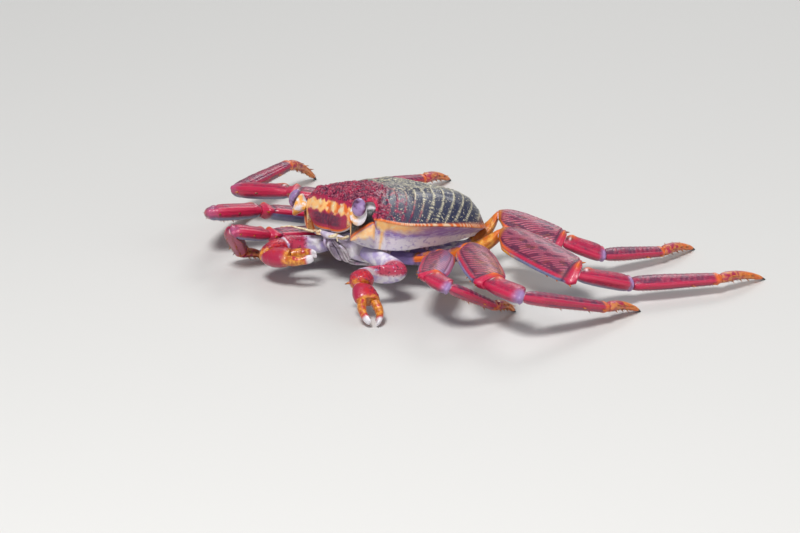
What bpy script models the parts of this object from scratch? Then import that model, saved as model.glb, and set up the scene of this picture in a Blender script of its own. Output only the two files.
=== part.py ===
"""Red rock crab standing with spread legs. Metres, +Z up, the crab faces -Y and its left is +X."""

import math

import bmesh
import bpy
import numpy as np

MM = 0.001

# Body, in the crab's own frame (mm): origin on the plane of the carapace margin
HALF_WIDTH = 34.0
HALF_LENGTH = 28.5
REAR_LENGTH = 35.5
OUTLINE_POWER = 2.6
REAR_POWER = 2.75
DOME_HEIGHT = 11.5
FRONT_HALF = 15.5
FRONT_TURN = 20
ORBIT_TURN = 40
WALL_TURN = 42
CENTRE_Y = 1.5
CREST_Y = -27.6
CREST_Z = 6.6
FRONT_LOW = (-27.9, -6.2)
REAR_DROP = 2.7
ORBIT_DEPTH = 4.4
ORBIT_RISE = 4.2
WALL_BOTTOM_FRONT = -11.0
WALL_BOTTOM_REAR = -5.6
WALL_INSET = 0.19
SKIRT = 3.0
CEILING = -4.2

# How the body is held over the floor
NOSE_UP = 11.0
LEFT_UP = 8.5
TURN = -3.0
BODY_AT = (-1.7, -2.2, 24.0)

JOINT_GAP = 0.3
FOOT_HALF = 0.55

# Sockets of the legs on the thorax and the hips where each merus starts (body frame, left side)
SOCKETS = {2: (15.6, -6.0, -14.0), 3: (15.6, 3.2, -13.4), 4: (15.2, 12.4, -12.0), 5: (13.0, 20.8, -10.0)}
HIPS = {2: (32.5, 4.5, -11.2), 3: (36.0, 14.5, -8.2), 4: (32.0, 32.0, -3.4), 5: (18.5, 39.5, 1.8)}
BASE_SAG = {2: 1.8, 3: 3.0, 4: 4.0, 5: 5.2}

# Places of merus end, carpus end, propodus end and toe over the floor, and the lean of the broad face
LEGS = {
    ("left", 2): (((57.4, -24.5, 19.5), (69.2, -24, 18.9), (68.2, -2.4, 6.7), (63, 11, 0)), -5),
    ("left", 3): (((74.3, -8.6, 18.9), (93, -6.9, 18.7), (93, 32.5, 6), (91, 50, 0)), 0),
    ("left", 4): (((79, 30, 15.5), (81, 53.5, 7.5), (92.5, 88, 5.6), (91, 111, 0)), 18),
    ("left", 5): (((45, 48.6, 15.4), (52, 62.5, 9), (52, 91.4, 4.2), (48, 110, 0)), 18),
    ("right", 2): (((-32.4, -38.4, 13.9), (-34.2, -53.2, 18), (-42.4, -43, 4.4), (-38, -32, 0)), -10),
    ("right", 3): (((-50, -29.5, 17), (-54.5, -49.2, 18.9), (-79.6, -19, 4.6), (-88, -4, 0)), -18),
    ("right", 4): (((-62.5, -6, 16.3), (-85.3, -14.8, 12.5), (-98.6, 19.2, 12.3), (-107, 38, 0)), -15),
    ("right", 5): (((-47.7, 33.3, 14), (-64, 35, 10.3), (-68, 63.5, 5.9), (-74, 81, 0)), -10),
}
MERUS_HALF = {2: 6.2, 3: 7.6, 4: 7.8, 5: 6.4}
MERUS_POWER = 1.8
SLENDER = {2: 0.88, 3: 1.0, 4: 1.0, 5: 0.88}
BASE_HALF = 3.1

# Rows of place along the piece, half width and half height, as parts of the widest half width
BASE_ROWS = (
    (0, 0.84, 0.78), (0.12, 1.0, 0.92), (0.36, 0.94, 0.9), (0.42, 0.84, 0.8), (0.5, 0.98, 0.92),
    (0.8, 1.0, 0.9), (0.94, 0.92, 0.82), (1, 0.7, 0.62),
)
MERUS_ROWS = (
    (0, 0.42, 0.28), (0.05, 0.6, 0.35), (0.16, 0.88, 0.39), (0.36, 1.0, 0.42), (0.6, 1.0, 0.42),
    (0.82, 0.94, 0.40), (0.94, 0.82, 0.38), (1, 0.56, 0.31),
)
CARPUS_ROWS = ((0, 3.3, 2.3), (0.1, 4.0, 2.8), (0.38, 4.8, 3.2), (0.72, 5.0, 3.3), (0.92, 4.4, 3.0), (1, 3.0, 2.2))
PROPODUS_ROWS = (
    (0, 2.9, 2.1), (0.07, 3.7, 2.6), (0.3, 4.2, 2.7), (0.62, 3.7, 2.4), (0.93, 3.1, 2.1), (1, 2.1, 1.7),
)
DACTYL_ROWS = (
    (0, 2.1, 1.7), (0.1, 2.5, 2.0), (0.35, 2.2, 1.75), (0.62, 1.7, 1.35), (0.85, 1.15, 1.0), (1, FOOT_HALF, FOOT_HALF),
)

# Spines of each leg piece: places around it (0.25 is its upper side), steps along it, radius, length, slant
LEG_SPINES = {
    "merus": (((0.98, 0.52), (0.955,), 0.8, 1.7, 1.7), ((0.52,), (0.86, 0.77), 0.6, 1.2, 1.4)),
    "carpus": (((0.97,), (0.5, 0.85), 0.6, 1.1, 0.9),),
    "propodus": (((0.96, 0.54), (0.66, 0.9), 0.42, 1.7, 1.2), ((0.75,), (0.45, 0.8), 0.42, 1.5, 1.3)),
    "dactyl": (
        ((0.06, 0.44), (0.2, 0.42, 0.64), 0.46, 1.8, 0.8),
        ((0.7, 0.86), (0.26, 0.44, 0.6), 0.44, 1.4, 1.1),
    ),
}

DACTYL_BOW = 1.6
LEG_COLOURS = {
    "base": (0.75, 0.35, 0.1),
    "merus": (0.5, 0.05, 0.1),
    "carpus": (0.6, 0.03, 0.06),
    "propodus": (0.55, 0.05, 0.1),
    "dactyl": (0.75, 0.2, 0.03),
}

# Chelipeds: socket in the body frame, then arm end, carpus end, finger hinge and claw tip over the floor
CLAW_SOCKET = (13.4, -17.2, -13.6)
CLAWS = {
    "left": ((27, -34.5, 14.5), (31, -39, 11.5), (38, -40, 7.5), (45, -45, 1.6)),
    "right": ((-21, -38, 13), (-18, -48, 11), (-9, -43.5, 12.5), (-2.5, -36, 14)),
}
ARM_BOW = {"left": (10, 7, -1.5), "right": (4.0, 0.0, -1.0)}
ARM_ROWS = ((0, 3.0, 2.8), (0.1, 3.6, 3.3), (0.4, 4.5, 3.8), (0.75, 5.0, 4.0), (0.93, 4.3, 3.5), (1, 3.0, 2.6))
WRIST_ROWS = ((0, 2.8, 2.5), (0.14, 3.8, 3.4), (0.42, 4.7, 4.2), (0.76, 4.6, 4.1), (0.93, 3.6, 3.2), (1, 2.6, 2.3))
PALM_ROWS = ((0, 2.5, 2.4), (0.12, 3.1, 3.6), (0.36, 3.7, 4.6), (0.7, 3.6, 5.0), (0.92, 3.1, 4.8), (1, 2.7, 4.4))
FINGER_SPREAD = 2.6
ARM_SPINES = ((0.62, 0.74, 0.86), 0.8, 1.3, 0.5)
WRIST_SPINES = ((0.72,), 1.0, 1.9, 0.4)
FINGER_ROWS = ((0, 2.1, 1.9), (0.25, 2.0, 1.7), (0.55, 1.7, 1.4), (0.8, 1.8, 1.25), (0.94, 1.6, 1.0), (1, 1.1, 0.6))

# Eyes: root of each stalk, middle of the cornea's flat back, the way it looks, and its depth
EYE_ROOT = {"left": (16.4, -26.5, 1.6), "right": (16.4, -26.9, 0.4)}
EYE_BACK = {"left": (21.1, -28.3, 5.2), "right": (20.8, -29.0, 3.0)}
EYE_DROP = (0.2, 0.1, -2.2)
EYE_HALF = (2.8, 3.6)
STALK_ROWS = ((0, 1.5, 1.5), (0.3, 2.1, 2.4), (0.6, 2.8, 3.7), (0.85, 3.3, 4.7), (1, 3.0, 4.4))
EYE_LOOK = (0.80, -0.54, 0.27)
EYE_DEPTH = 3.2
EYE_PROFILE = ((0, 0.92), (0.15, 1.0), (0.4, 0.95), (0.65, 0.78), (0.86, 0.5), (1, 0.2))

# Long feelers beside the eyes
ANTENNA_PATH = ((9.8, -24.4, -7.6), (10.6, -27.6, -8.3), (12.8, -31.0, -7.6), (16.2, -34.0, -7.2), (19.8, -36.2, -8.0))
ANTENNA_RADII = (0.8, 0.7, 0.5, 0.38, 0.3)


def unit(v):
    v = np.asarray(v, float)
    return v / np.linalg.norm(v)


def tilt_matrix():
    p = math.radians(NOSE_UP)
    r = math.radians(LEFT_UP)
    pitch = np.array([[1, 0, 0], [0, math.cos(p), math.sin(p)], [0, -math.sin(p), math.cos(p)]])
    roll = np.array([[math.cos(r), 0, -math.sin(r)], [0, 1, 0], [math.sin(r), 0, math.cos(r)]])
    t = math.radians(TURN)
    turn = np.array([[math.cos(t), -math.sin(t), 0], [math.sin(t), math.cos(t), 0], [0, 0, 1]])
    return turn @ pitch @ roll


TILT = tilt_matrix()


def placed(points):
    """Body frame to floor frame, in mm."""
    return np.asarray(points, float) @ TILT.T + BODY_AT


def turned(direction):
    return np.asarray(direction, float) @ TILT.T


def mirrored(point, side):
    x, y, z = point
    return (x if side == "left" else -x, y, z)


def clear_scene():
    for obj in list(bpy.data.objects):
        bpy.data.objects.remove(obj)


def coloured(obj, colour, roughness):
    mat = bpy.data.materials.new(obj.name + " shell")
    mat.use_nodes = True
    shader = mat.node_tree.nodes["Principled BSDF"]
    shader.inputs["Base Color"].default_value = (*colour, 1)
    shader.inputs["Roughness"].default_value = roughness
    shader.inputs["Metallic"].default_value = 0
    obj.data.materials.append(mat)


def solid(name, points, faces, colour, roughness=0.35):
    mesh = bpy.data.meshes.new(name)
    mesh.from_pydata([tuple(p) for p in np.asarray(points) * MM], [], faces)
    bm = bmesh.new()
    bm.from_mesh(mesh)
    bmesh.ops.recalc_face_normals(bm, faces=bm.faces)
    bm.to_mesh(mesh)
    bm.free()
    mesh.polygons.foreach_set("use_smooth", [True] * len(mesh.polygons))
    obj = bpy.data.objects.new(name, mesh)
    bpy.context.scene.collection.objects.link(obj)
    coloured(obj, colour, roughness)
    return obj


def skinned(rings):
    """Points and faces of a body through rings of equal count, its ends closed."""
    count = len(rings[0])
    points = np.concatenate(rings)
    faces = []
    for k in range(len(rings) - 1):
        for i in range(count):
            j = (i + 1) % count
            a = k * count
            b = a + count
            faces.append((a + i, a + j, b + j, b + i))
    faces.append(tuple(range(count)))
    last = (len(rings) - 1) * count
    faces.append(tuple(range(last, last + count)))
    return points, faces


def oval(centre, normal, up, half_width, half_height, count, power, side=None):
    side = np.cross(up, normal) if side is None else side - normal * (side @ normal)
    side = unit(side)
    rise = unit(np.cross(normal, side))
    ring = []
    for i in range(count):
        a = math.tau * (i + 0.5) / count
        c, s = math.cos(a), math.sin(a)
        x = half_width * math.copysign(abs(c) ** (2 / power), c)
        y = half_height * math.copysign(abs(s) ** (2 / power), s)
        ring.append(centre + side * x + rise * y)
    return np.array(ring)


def segment_rings(start, end, start_dir, end_dir, up, rows, count=10, power=2.0, bow=(0, 0, 0)):
    """Rings of a leg piece: its end faces lie square to the joint directions, half a gap from each joint."""
    start, end, bow = (np.asarray(v, float) for v in (start, end, bow))
    start_dir, end_dir = unit(start_dir), unit(end_dir)
    along = unit(end - start)
    a = start + start_dir * JOINT_GAP / 2
    b = end - end_dir * JOINT_GAP / 2
    side = np.cross(up, along)
    rings = []
    for k, (t, half_width, half_height) in enumerate(rows):
        near_start = max(0.0, 1 - t / 0.2)
        near_end = max(0.0, 1 - (1 - t) / 0.2)
        normal = unit(along + (start_dir - along) * near_start + (end_dir - along) * near_end)
        centre = a + (b - a) * t + bow * 4 * t * (1 - t)
        ring = oval(centre, normal, up, half_width, half_height, count, power, side)
        if k:
            depth = (ring - a) @ start_dir
            ring += np.outer(np.maximum(0, 0.4 * k - depth), start_dir)
        if k < len(rows) - 1:
            depth = (b - ring) @ end_dir
            ring -= np.outer(np.maximum(0, 0.4 * (len(rows) - 1 - k) - depth), end_dir)
        rings.append(ring)
    return rings


def scaled(rows, size):
    return tuple((t, a * size, b * size) for t, a, b in rows)


# Carapace
def outline(turn):
    """Margin of the carapace seen from above. turn is 0 at the front and grows to the left."""
    c, s = math.cos(turn), math.sin(turn)
    power = OUTLINE_POWER if c > 0 else REAR_POWER
    length = HALF_LENGTH if c > 0 else REAR_LENGTH
    x = HALF_WIDTH * math.copysign(abs(s) ** (2 / power), s)
    y = -length * math.copysign(abs(c) ** (2 / power), c)
    return x, y


def bump(value, centre, width):
    return math.exp(-(((value - centre) / width) ** 2))


def ramp(value, low, high):
    t = min(1.0, max(0.0, (value - low) / (high - low)))
    return t * t * (3 - 2 * t)


def margin(degrees):
    """Point on the dorsal margin for a turn in degrees from the front."""
    away = abs(degrees)
    x, y = outline(math.radians(degrees))
    z = 0.0
    if away <= FRONT_TURN:
        x = math.copysign(FRONT_HALF * away / FRONT_TURN, degrees)
        y = CREST_Y + 0.5 * (away / FRONT_TURN) ** 4 + 0.9 * bump(away, 0, 2.5)
        z = CREST_Z - 0.7 * bump(away, 0, 2.5) - 0.5 * bump(away, 10, 2.2) - 1.8 * (away / FRONT_TURN) ** 4
    elif away < ORBIT_TURN:
        t = (away - FRONT_TURN) / (ORBIT_TURN - FRONT_TURN)
        y += ORBIT_DEPTH * math.sin(math.pi * t) ** 0.8
        z = (CREST_Z - 1.8) * (1 - t) + 1.2 * t + ORBIT_RISE * math.sin(math.pi * t) ** 0.9
    else:
        tooth = 1.3 * bump(away, 41, 1.6) + 0.9 * bump(away, 52, 2.5)
        grow = 1 + tooth / math.hypot(x, y)
        x, y = x * grow, y * grow
        z = 1.2 * (1 - ramp(away, 41, 70)) - REAR_DROP * ramp(away, 85, 160)
    return x, y, z


def dome_detail(x, y):
    """Swellings of the regions and the grooves between them."""
    ax = abs(x)
    lift = 0.9 * bump(ax, 4.2, 2.6) * bump(y, -25.5, 2.6)
    lift += 0.8 * bump(ax, 11.0, 2.4) * bump(y, -24.5, 2.6)
    lift += 0.8 * bump(x, 0, 9) * bump(y, -9, 8)
    lift += 0.7 * bump(ax, 20, 8) * bump(y, 8, 13)
    lift += 0.5 * bump(x, 0, 6) * bump(y, 15, 6)
    groove = 3.0 + 0.028 * ax * ax - 0.25 * ax
    lift -= 0.9 * bump(y, groove - 2.0, 2.4) * ramp(ax, 3, 8) * (1 - ramp(ax, 22, 29))
    lift -= 0.5 * bump(x, 0, 1.6) * bump(y, -27, 5)
    return lift


def wall_bottom(away):
    return WALL_BOTTOM_FRONT + (WALL_BOTTOM_REAR - WALL_BOTTOM_FRONT) * ramp(away, 62, 135)


def wall_point(degrees, w):
    """Below the margin: w runs from 0 at the margin to 1 at the lower edge."""
    away = abs(degrees)
    x, y, z = margin(degrees)
    side = math.copysign(1, degrees)
    if away <= FRONT_TURN:
        low_x = x * (1 - 0.12 * w**3)
        low_y = y + (FRONT_LOW[0] - CREST_Y) * w - 1.0 * math.sin(math.pi * w)
        corner = (away / FRONT_TURN) ** 4 * w * w
        return low_x, low_y + 0.8 * corner, z + (FRONT_LOW[1] - z) * w + 3.2 * corner
    bottom = wall_bottom(away)
    inset = WALL_INSET * (1 - 0.5 * ramp(away, 90, 150))
    shrink = 1 - inset * w**1.2 - 0.02 * math.sin(math.pi * w)
    plain = (x * shrink, y * shrink, z + (bottom - z) * w)
    if away >= WALL_TURN:
        return plain
    t = (away - FRONT_TURN) / (WALL_TURN - FRONT_TURN)
    hollow = ORBIT_DEPTH * math.sin(math.pi * t) ** 0.8
    rim_x, rim_y = outline(math.radians(degrees))
    rim_z = -8.0 + 8.6 * t**0.8
    stages = (
        (0.0, x, y, z),
        (0.2, x * 0.96, y + 0.6 * hollow, z - 1.6),
        (0.42, rim_x * 0.94, rim_y + 1.1 * hollow, (z + rim_z) / 2 - 0.4),
        (0.6, rim_x * 0.99, rim_y + 0.2, rim_z),
        (0.8, rim_x * 0.98, rim_y * 0.985, (rim_z * 1.2 + bottom) / 2.2),
        (1.0, side * (12.5 + 8.6 * t), -24.5 + 6.1 * t, bottom),
    )
    for (w0, *p), (w1, *q) in zip(stages, stages[1:]):
        if w <= w1 + 1e-9:
            k = (w - w0) / (w1 - w0)
            return tuple(a + (b - a) * k for a, b in zip(p, q))
    return plain


def dorsal_point(degrees, f):
    x, y, z = margin(degrees)
    px = x * f
    py = CENTRE_Y + (y - CENTRE_Y) * f
    away = abs(degrees)
    fullness = 4.2 - 1.5 * ramp(away, 12, 48) + 5.0 * ramp(away, 75, 125)
    height = DOME_HEIGHT * (1 - f**fullness) + z * f**4
    return px, py, height + dome_detail(px, py) * (1 - f**8)


def under_point(degrees, u):
    """From the lower edge of the wall, up inside the skirt, and in under the ceiling."""
    away = abs(degrees)
    x, y, z = wall_point(degrees, 1.0)
    if away <= FRONT_TURN:
        stages = ((x * 0.96, y + 1.6, z - 0.4), (x * 0.9, y + 2.4, CEILING - 0.6), (x * 0.5, -14, CEILING))
    else:
        inner = (math.hypot(x, y) - SKIRT) / math.hypot(x, y)
        stages = (
            (x * inner, y * inner, z + 0.3),
            (x * inner * 0.96, y * inner * 0.96, max(CEILING, z + 1.2) - 0.6),
            (x * 0.5, y * 0.5, CEILING),
        )
    return stages[u]


SECTOR_TURNS = (
    0, 3, 6, 10, 14, 17, 20, 21.5, 25, 29, 33, 37, 40, 41.5, 46, 50, 53, 59, 67, 76, 86, 96, 106, 116, 126, 136, 146,
    156, 165, 173,
)
DORSAL_STEPS = (0.16, 0.34, 0.5, 0.64, 0.76, 0.84, 0.9, 0.96, 1.0)
WALL_STEPS = (0.2, 0.42, 0.6, 0.8, 1.0)


def build_carapace():
    turns = [-t for t in reversed(SECTOR_TURNS[1:])] + list(SECTOR_TURNS) + [180]
    rings = []
    for f in DORSAL_STEPS:
        rings.append([dorsal_point(t, f) for t in turns])
    for w in WALL_STEPS:
        rings.append([wall_point(t, w) for t in turns])
    for u in range(3):
        rings.append([under_point(t, u) for t in turns])
    count = len(turns)
    points = [(0, CENTRE_Y, DOME_HEIGHT + dome_detail(0, CENTRE_Y))]
    for ring in rings:
        points += ring
    points.append((0, 0, CEILING))
    faces = [(0, 1 + i, 1 + (i + 1) % count) for i in range(count)]
    for k in range(len(rings) - 1):
        a = 1 + k * count
        b = a + count
        for i in range(count):
            j = (i + 1) % count
            faces.append((a + i, b + i, b + j, a + j))
    a = 1 + (len(rings) - 1) * count
    end = len(points) - 1
    faces += [(a + i, end, a + (i + 1) % count) for i in range(count)]
    return solid("carapace", placed(points), faces, (0.16, 0.03, 0.05), 0.3)


# Thorax with the sternum below and the mouth frame in front
THORAX_STATIONS = (
    # y, top, side top half width, side low half width, side low z, sternum half width, sternum z
    (-25.4, -7.2, 6.0, 6.4, -8.8, 4.0, -9.8),
    (-22.8, -6.2, 8.5, 9.0, -11.2, 6.0, -12.6),
    (-19.8, -5.6, 9.0, 9.6, -15.0, 6.5, -16.6),
    (-14.5, -5.2, 14.0, 13.6, -17.6, 8.0, -18.0),
    (-13.0, -5.2, 15.0, 14.6, -17.8, 9.0, -18.2),
    (0.0, -5.2, 15.0, 14.6, -17.6, 9.0, -18.0),
    (9.0, -5.2, 15.0, 14.2, -16.6, 8.6, -17.2),
    (14.0, -5.2, 14.4, 13.2, -15.6, 8.2, -16.4),
    (20.5, -5.6, 12.4, 11.0, -14.0, 6.8, -14.8),
    (25.5, -7.4, 10.2, 9.0, -12.6, 5.4, -13.4),
)

# Folded tail: edges of its seven plates and the half width at each
ABDOMEN_EDGES = (-15.5, -10.5, -4.0, 2.5, 8.5, 14.0, 19.5, 24.5)
ABDOMEN_HALF = (2.6, 4.4, 5.6, 6.4, 7.0, 7.2, 6.8, 5.6)

# Outer mouth legs: y, inner edge, outer edge
MOUTH_ROWS = ((-26.6, 0.9, 2.6), (-24.4, 0.7, 4.2), (-21.8, 0.6, 4.9), (-19.4, 0.8, 4.2))


def build_thorax():
    rings = []
    for y, top, w_top, w_low, z_low, w_sternum, z_sternum in THORAX_STATIONS:
        half = [(w_top * 0.5, top), (w_top, top - 0.4), (w_low, z_low), (w_sternum, z_sternum)]
        ring = [(x, y, z) for x, z in half] + [(-x, y, z) for x, z in reversed(half)]
        rings.append(np.array(ring, float))
    points, faces = skinned(rings)
    return solid("thorax", placed(points), faces, (0.75, 0.62, 0.55), 0.45)


def build_abdomen():
    """The folded tail: seven plates, each edge raised over the next, under the sternum."""
    rings = []
    for k, (y0, y1) in enumerate(zip(ABDOMEN_EDGES, ABDOMEN_EDGES[1:])):
        for y, raised in ((y0, 0.0), (y0 + 0.35, 0.55), (y1 - 0.3, 0.25)):
            half = float(np.interp(y, ABDOMEN_EDGES, ABDOMEN_HALF))
            low = sternum_level(y) - 0.35
            deep = low - 1.1 - raised
            ring = [
                (half, y, low), (half * 0.92, y, (low + deep) / 2), (half * 0.55, y, deep),
                (-half * 0.55, y, deep), (-half * 0.92, y, (low + deep) / 2), (-half, y, low),
            ]
            rings.append(np.array(ring, float))
    points, faces = skinned(rings)
    return solid("abdomen", placed(points), faces, (0.8, 0.66, 0.6), 0.45)


def sternum_level(y):
    ys = [row[0] for row in THORAX_STATIONS]
    zs = [row[6] for row in THORAX_STATIONS]
    return float(np.interp(y, ys, zs))


def build_maxilliped(side):
    rings = []
    for y, inner, outer in MOUTH_ROWS:
        top = sternum_level(y) - 0.1 - JOINT_GAP
        ring = [(inner, y, top), (outer, y, top), (outer * 0.96, y, top - 1.3), (inner + 0.3, y, top - 1.8)]
        rings.append(np.array([mirrored(p, side) for p in ring], float))
    points, faces = skinned(rings)
    return solid(f"maxilliped_{side}", placed(points), faces, (0.72, 0.55, 0.6), 0.4)


def build_eye(side):
    """A stalk that widens to a flat face, and over it the cornea, taller than it is wide."""
    root, back = (np.array(mirrored(p[side], side)) for p in (EYE_ROOT, EYE_BACK))
    look = unit(mirrored(EYE_LOOK, side))
    low_back = back - look * JOINT_GAP + mirrored(EYE_DROP, side)
    rings = [oval(root + (low_back - root) * t, look, (0, 0, 1), a, b, 12, 2.0) for t, a, b in STALK_ROWS]
    points, faces = skinned(rings)
    solid(f"eyestalk_{side}", placed(points), faces, (0.85, 0.75, 0.6), 0.35)
    rings = []
    wide, high = EYE_HALF
    for t, a in EYE_PROFILE:
        rings.append(oval(back + look * EYE_DEPTH * t, look, (0, 0, 1), wide * a, high * a, 14, 2.0))
    points, faces = skinned(rings)
    solid(f"eye_{side}", placed(points), faces, (0.3, 0.14, 0.3), 0.08)


def build_antenna(side):
    path = np.array(ANTENNA_PATH, float)
    rings = []
    for point, heading, radius in zip(path, np.gradient(path, axis=0), ANTENNA_RADII):
        rings.append(oval(point, unit(heading), (0, 0, 1), radius, radius, 6, 2.0))
    rings = [np.array([mirrored(p, side) for p in ring]) for ring in rings]
    points, faces = skinned(rings)
    solid(f"antenna_{side}", placed(points), faces, (0.75, 0.4, 0.15), 0.5)


# Spines and teeth, joined to the piece that carries them
def on_skin(rings, rows, t, place):
    """Point on a lofted piece at t along it and place (0 to 1) around it, with the outward direction."""
    steps = [row[0] for row in rows]
    k = min(max(np.searchsorted(steps, t) - 1, 0), len(rows) - 2)
    mix = (t - steps[k]) / (steps[k + 1] - steps[k])
    ring = rings[k] * (1 - mix) + rings[k + 1] * mix
    count = len(ring)
    at = place * count
    i = int(at) % count
    point = ring[i] * (1 - at % 1) + ring[(i + 1) % count] * (at % 1)
    return point, unit(point - ring.mean(axis=0))


def spine(point, direction, radius, length, root, sides=5):
    """Closed cone whose root is sunk below the skin."""
    direction = unit(direction)
    start = point - direction * root
    up = (0.3, 0.5, 0.81) if abs(direction[2]) < 0.8 else (0.9, 0.3, 0.3)
    base = oval(start, direction, up, radius, radius, sides, 2.0)
    tip = oval(point + direction * length, direction, up, radius * 0.16, radius * 0.16, sides, 2.0)
    points, faces = skinned([base, tip])
    return solid("spine tool", points, faces, (0.4, 0.2, 0.1))


def spine_row(rings, rows, along, places, steps, radius, length, lean):
    tools = []
    for place in places:
        for t in steps:
            point, out = on_skin(rings, rows, t, place)
            tools.append(spine(point, out + along * lean, radius, length, radius * 1.1))
    return tools


# Legs
def joint_dirs(points):
    """Direction of each joint: between the two pieces that meet there."""
    steps = [unit(b - a) for a, b in zip(points, points[1:])]
    dirs = [steps[0]]
    for before, after in zip(steps, steps[1:]):
        dirs.append(unit(before + after))
    dirs.append(steps[-1])
    return dirs


def leaning_up(points, lean, side):
    """Normal of the leg's broad face: straight up, turned about the leg towards its front edge."""
    along = points[2] - points[1]
    along = unit(along * (1, 1, 0))
    forward = np.cross(along, (0, 0, 1)) * (1 if side == "left" else -1)
    angle = math.radians(lean)
    return unit(np.array([0, 0, 1]) * math.cos(angle) + forward * math.sin(angle))


def build_leg(side, number):
    spots, lean = LEGS[side, number]
    socket = placed(mirrored(SOCKETS[number], side))
    hip = placed(mirrored(HIPS[number], side))
    points = [socket, hip] + [np.array(p, float) for p in spots]
    dirs = joint_dirs(points)
    dirs[0] = unit(turned(mirrored((1, 0, -0.04), side)))
    dirs[-1] = np.array([0.0, 0.0, -1.0])
    up = leaning_up(points, lean, side)
    slender = SLENDER[number]
    base_up = unit(up + turned((0, 0, 1)))
    sag = turned((0, 0, -BASE_SAG[number]))
    rows = {
        "base": scaled(BASE_ROWS, BASE_HALF * slender),
        "merus": scaled(MERUS_ROWS, MERUS_HALF[number]),
        "carpus": scaled(CARPUS_ROWS, slender),
        "propodus": scaled(PROPODUS_ROWS, slender),
        "dactyl": DACTYL_ROWS,
    }
    for k, piece in enumerate(LEG_COLOURS):
        ends = points[k], points[k + 1]
        bow = sag if piece == "base" else (0, 0, 0)
        if piece == "dactyl":
            bow = (0, 0, DACTYL_BOW)
            ends = points[k], points[k + 1] - (0, 0, JOINT_GAP / 2)
        power = MERUS_POWER if piece == "merus" else 2.0
        piece_up = base_up if piece == "base" else up
        rings = segment_rings(*ends, dirs[k], dirs[k + 1], piece_up, rows[piece], power=power, bow=bow)
        shape, faces = skinned(rings)
        body = solid(f"leg{number}_{piece}_{side}", shape, faces, LEG_COLOURS[piece], 0.33)
        along = unit(ends[1] - ends[0])
        tools = []
        for places, steps, radius, length, slant in LEG_SPINES.get(piece, ()):
            tools += spine_row(rings, rows[piece], along, places, steps, radius, length, slant)
        if tools:
            fuse(body, tools)


# Claws
def build_claw(side):
    arm_end, wrist_end, hinge, tip = (np.array(p, float) for p in CLAWS[side])
    socket = placed(mirrored(CLAW_SOCKET, side))
    points = [socket, arm_end, wrist_end, hinge, tip]
    dirs = joint_dirs(points)
    dirs[0] = unit(turned(mirrored((0.8, -0.6, 0.0), side)))
    up = np.array([0, 0, 1.0])
    bow = turned(mirrored(ARM_BOW[side], side))
    arm_rings = segment_rings(socket, arm_end, dirs[0], dirs[1], up, ARM_ROWS, bow=bow)
    shape, faces = skinned(arm_rings)
    arm = solid(f"claw_arm_{side}", shape, faces, (0.75, 0.6, 0.7), 0.35)
    inner = 0.52 if side == "left" else 0.98
    along = unit(arm_end - socket)
    fuse(arm, spine_row(arm_rings, ARM_ROWS, along, (inner,), *ARM_SPINES))
    wrist_rings = segment_rings(arm_end, wrist_end, dirs[1], dirs[2], up, WRIST_ROWS)
    shape, faces = skinned(wrist_rings)
    wrist = solid(f"claw_wrist_{side}", shape, faces, (0.65, 0.02, 0.05), 0.3)
    along = unit(wrist_end - arm_end)
    fuse(wrist, spine_row(wrist_rings, WRIST_ROWS, along, (inner,), *WRIST_SPINES))
    along = unit(tip - wrist_end)
    across = unit(np.cross(along, points[1] - points[2]))
    rise = unit(np.cross(across, along))
    shape, faces = skinned(segment_rings(wrist_end, hinge, dirs[2], along, rise, PALM_ROWS))
    palm = solid(f"claw_palm_{side}", shape, faces, (0.6, 0.02, 0.05), 0.3)
    fixed = finger_rings(hinge, tip, along, rise, -1, -0.2)
    shape, faces = skinned([fixed[0] - along * 2.5] + fixed)
    fuse(palm, [solid("finger tool", shape, faces, (0.8, 0.4, 0.2), 0.3)])
    shape, faces = skinned(finger_rings(hinge, tip, along, rise, 1, JOINT_GAP))
    solid(f"claw_finger_{side}", shape, faces, (0.75, 0.25, 0.08), 0.3)


def finger_rings(hinge, tip, along, rise, sign, gap):
    """One finger of a claw: sign is 1 for the upper one that moves in life, -1 for the fixed one."""
    reach = np.linalg.norm(tip - hinge)
    rings = []
    for t, a, b in FINGER_ROWS:
        bend = 1.1 * t * t - 1.2 * math.sin(math.pi * t)
        centre = hinge + rise * sign * (FINGER_SPREAD - bend) + along * (reach * t + gap)
        rings.append(oval(centre, along, rise, a, b, 10, 2.0))
    return rings


def fuse(body, tools):
    """Joins closed tools to the body in one union, and keeps its largest closed surface."""
    group = bpy.data.collections.new(body.name + " tools")
    bpy.context.scene.collection.children.link(group)
    for tool in tools:
        bpy.context.scene.collection.objects.unlink(tool)
        group.objects.link(tool)
    modifier = body.modifiers.new("join", "BOOLEAN")
    modifier.operation = "UNION"
    modifier.solver = "EXACT"
    modifier.operand_type = "COLLECTION"
    modifier.collection = group
    bpy.context.view_layer.update()
    graph = bpy.context.evaluated_depsgraph_get()
    joined = bpy.data.meshes.new_from_object(body.evaluated_get(graph))
    body.modifiers.remove(modifier)
    body.data = joined
    for tool in tools:
        bpy.data.objects.remove(tool)
    bpy.data.collections.remove(group)
    keep_largest(joined)
    while len(joined.materials) > 1:
        joined.materials.pop()


def keep_largest(mesh):
    bm = bmesh.new()
    bm.from_mesh(mesh)
    left = set(bm.verts)
    parts = []
    while left:
        seed = left.pop()
        part = {seed}
        todo = [seed]
        while todo:
            for edge in todo.pop().link_edges:
                for vert in edge.verts:
                    if vert not in part:
                        part.add(vert)
                        todo.append(vert)
        left -= part
        parts.append(part)
    parts.sort(key=len)
    for part in parts[:-1]:
        bmesh.ops.delete(bm, geom=list(part), context="VERTS")
    bm.to_mesh(mesh)
    bm.free()


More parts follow.
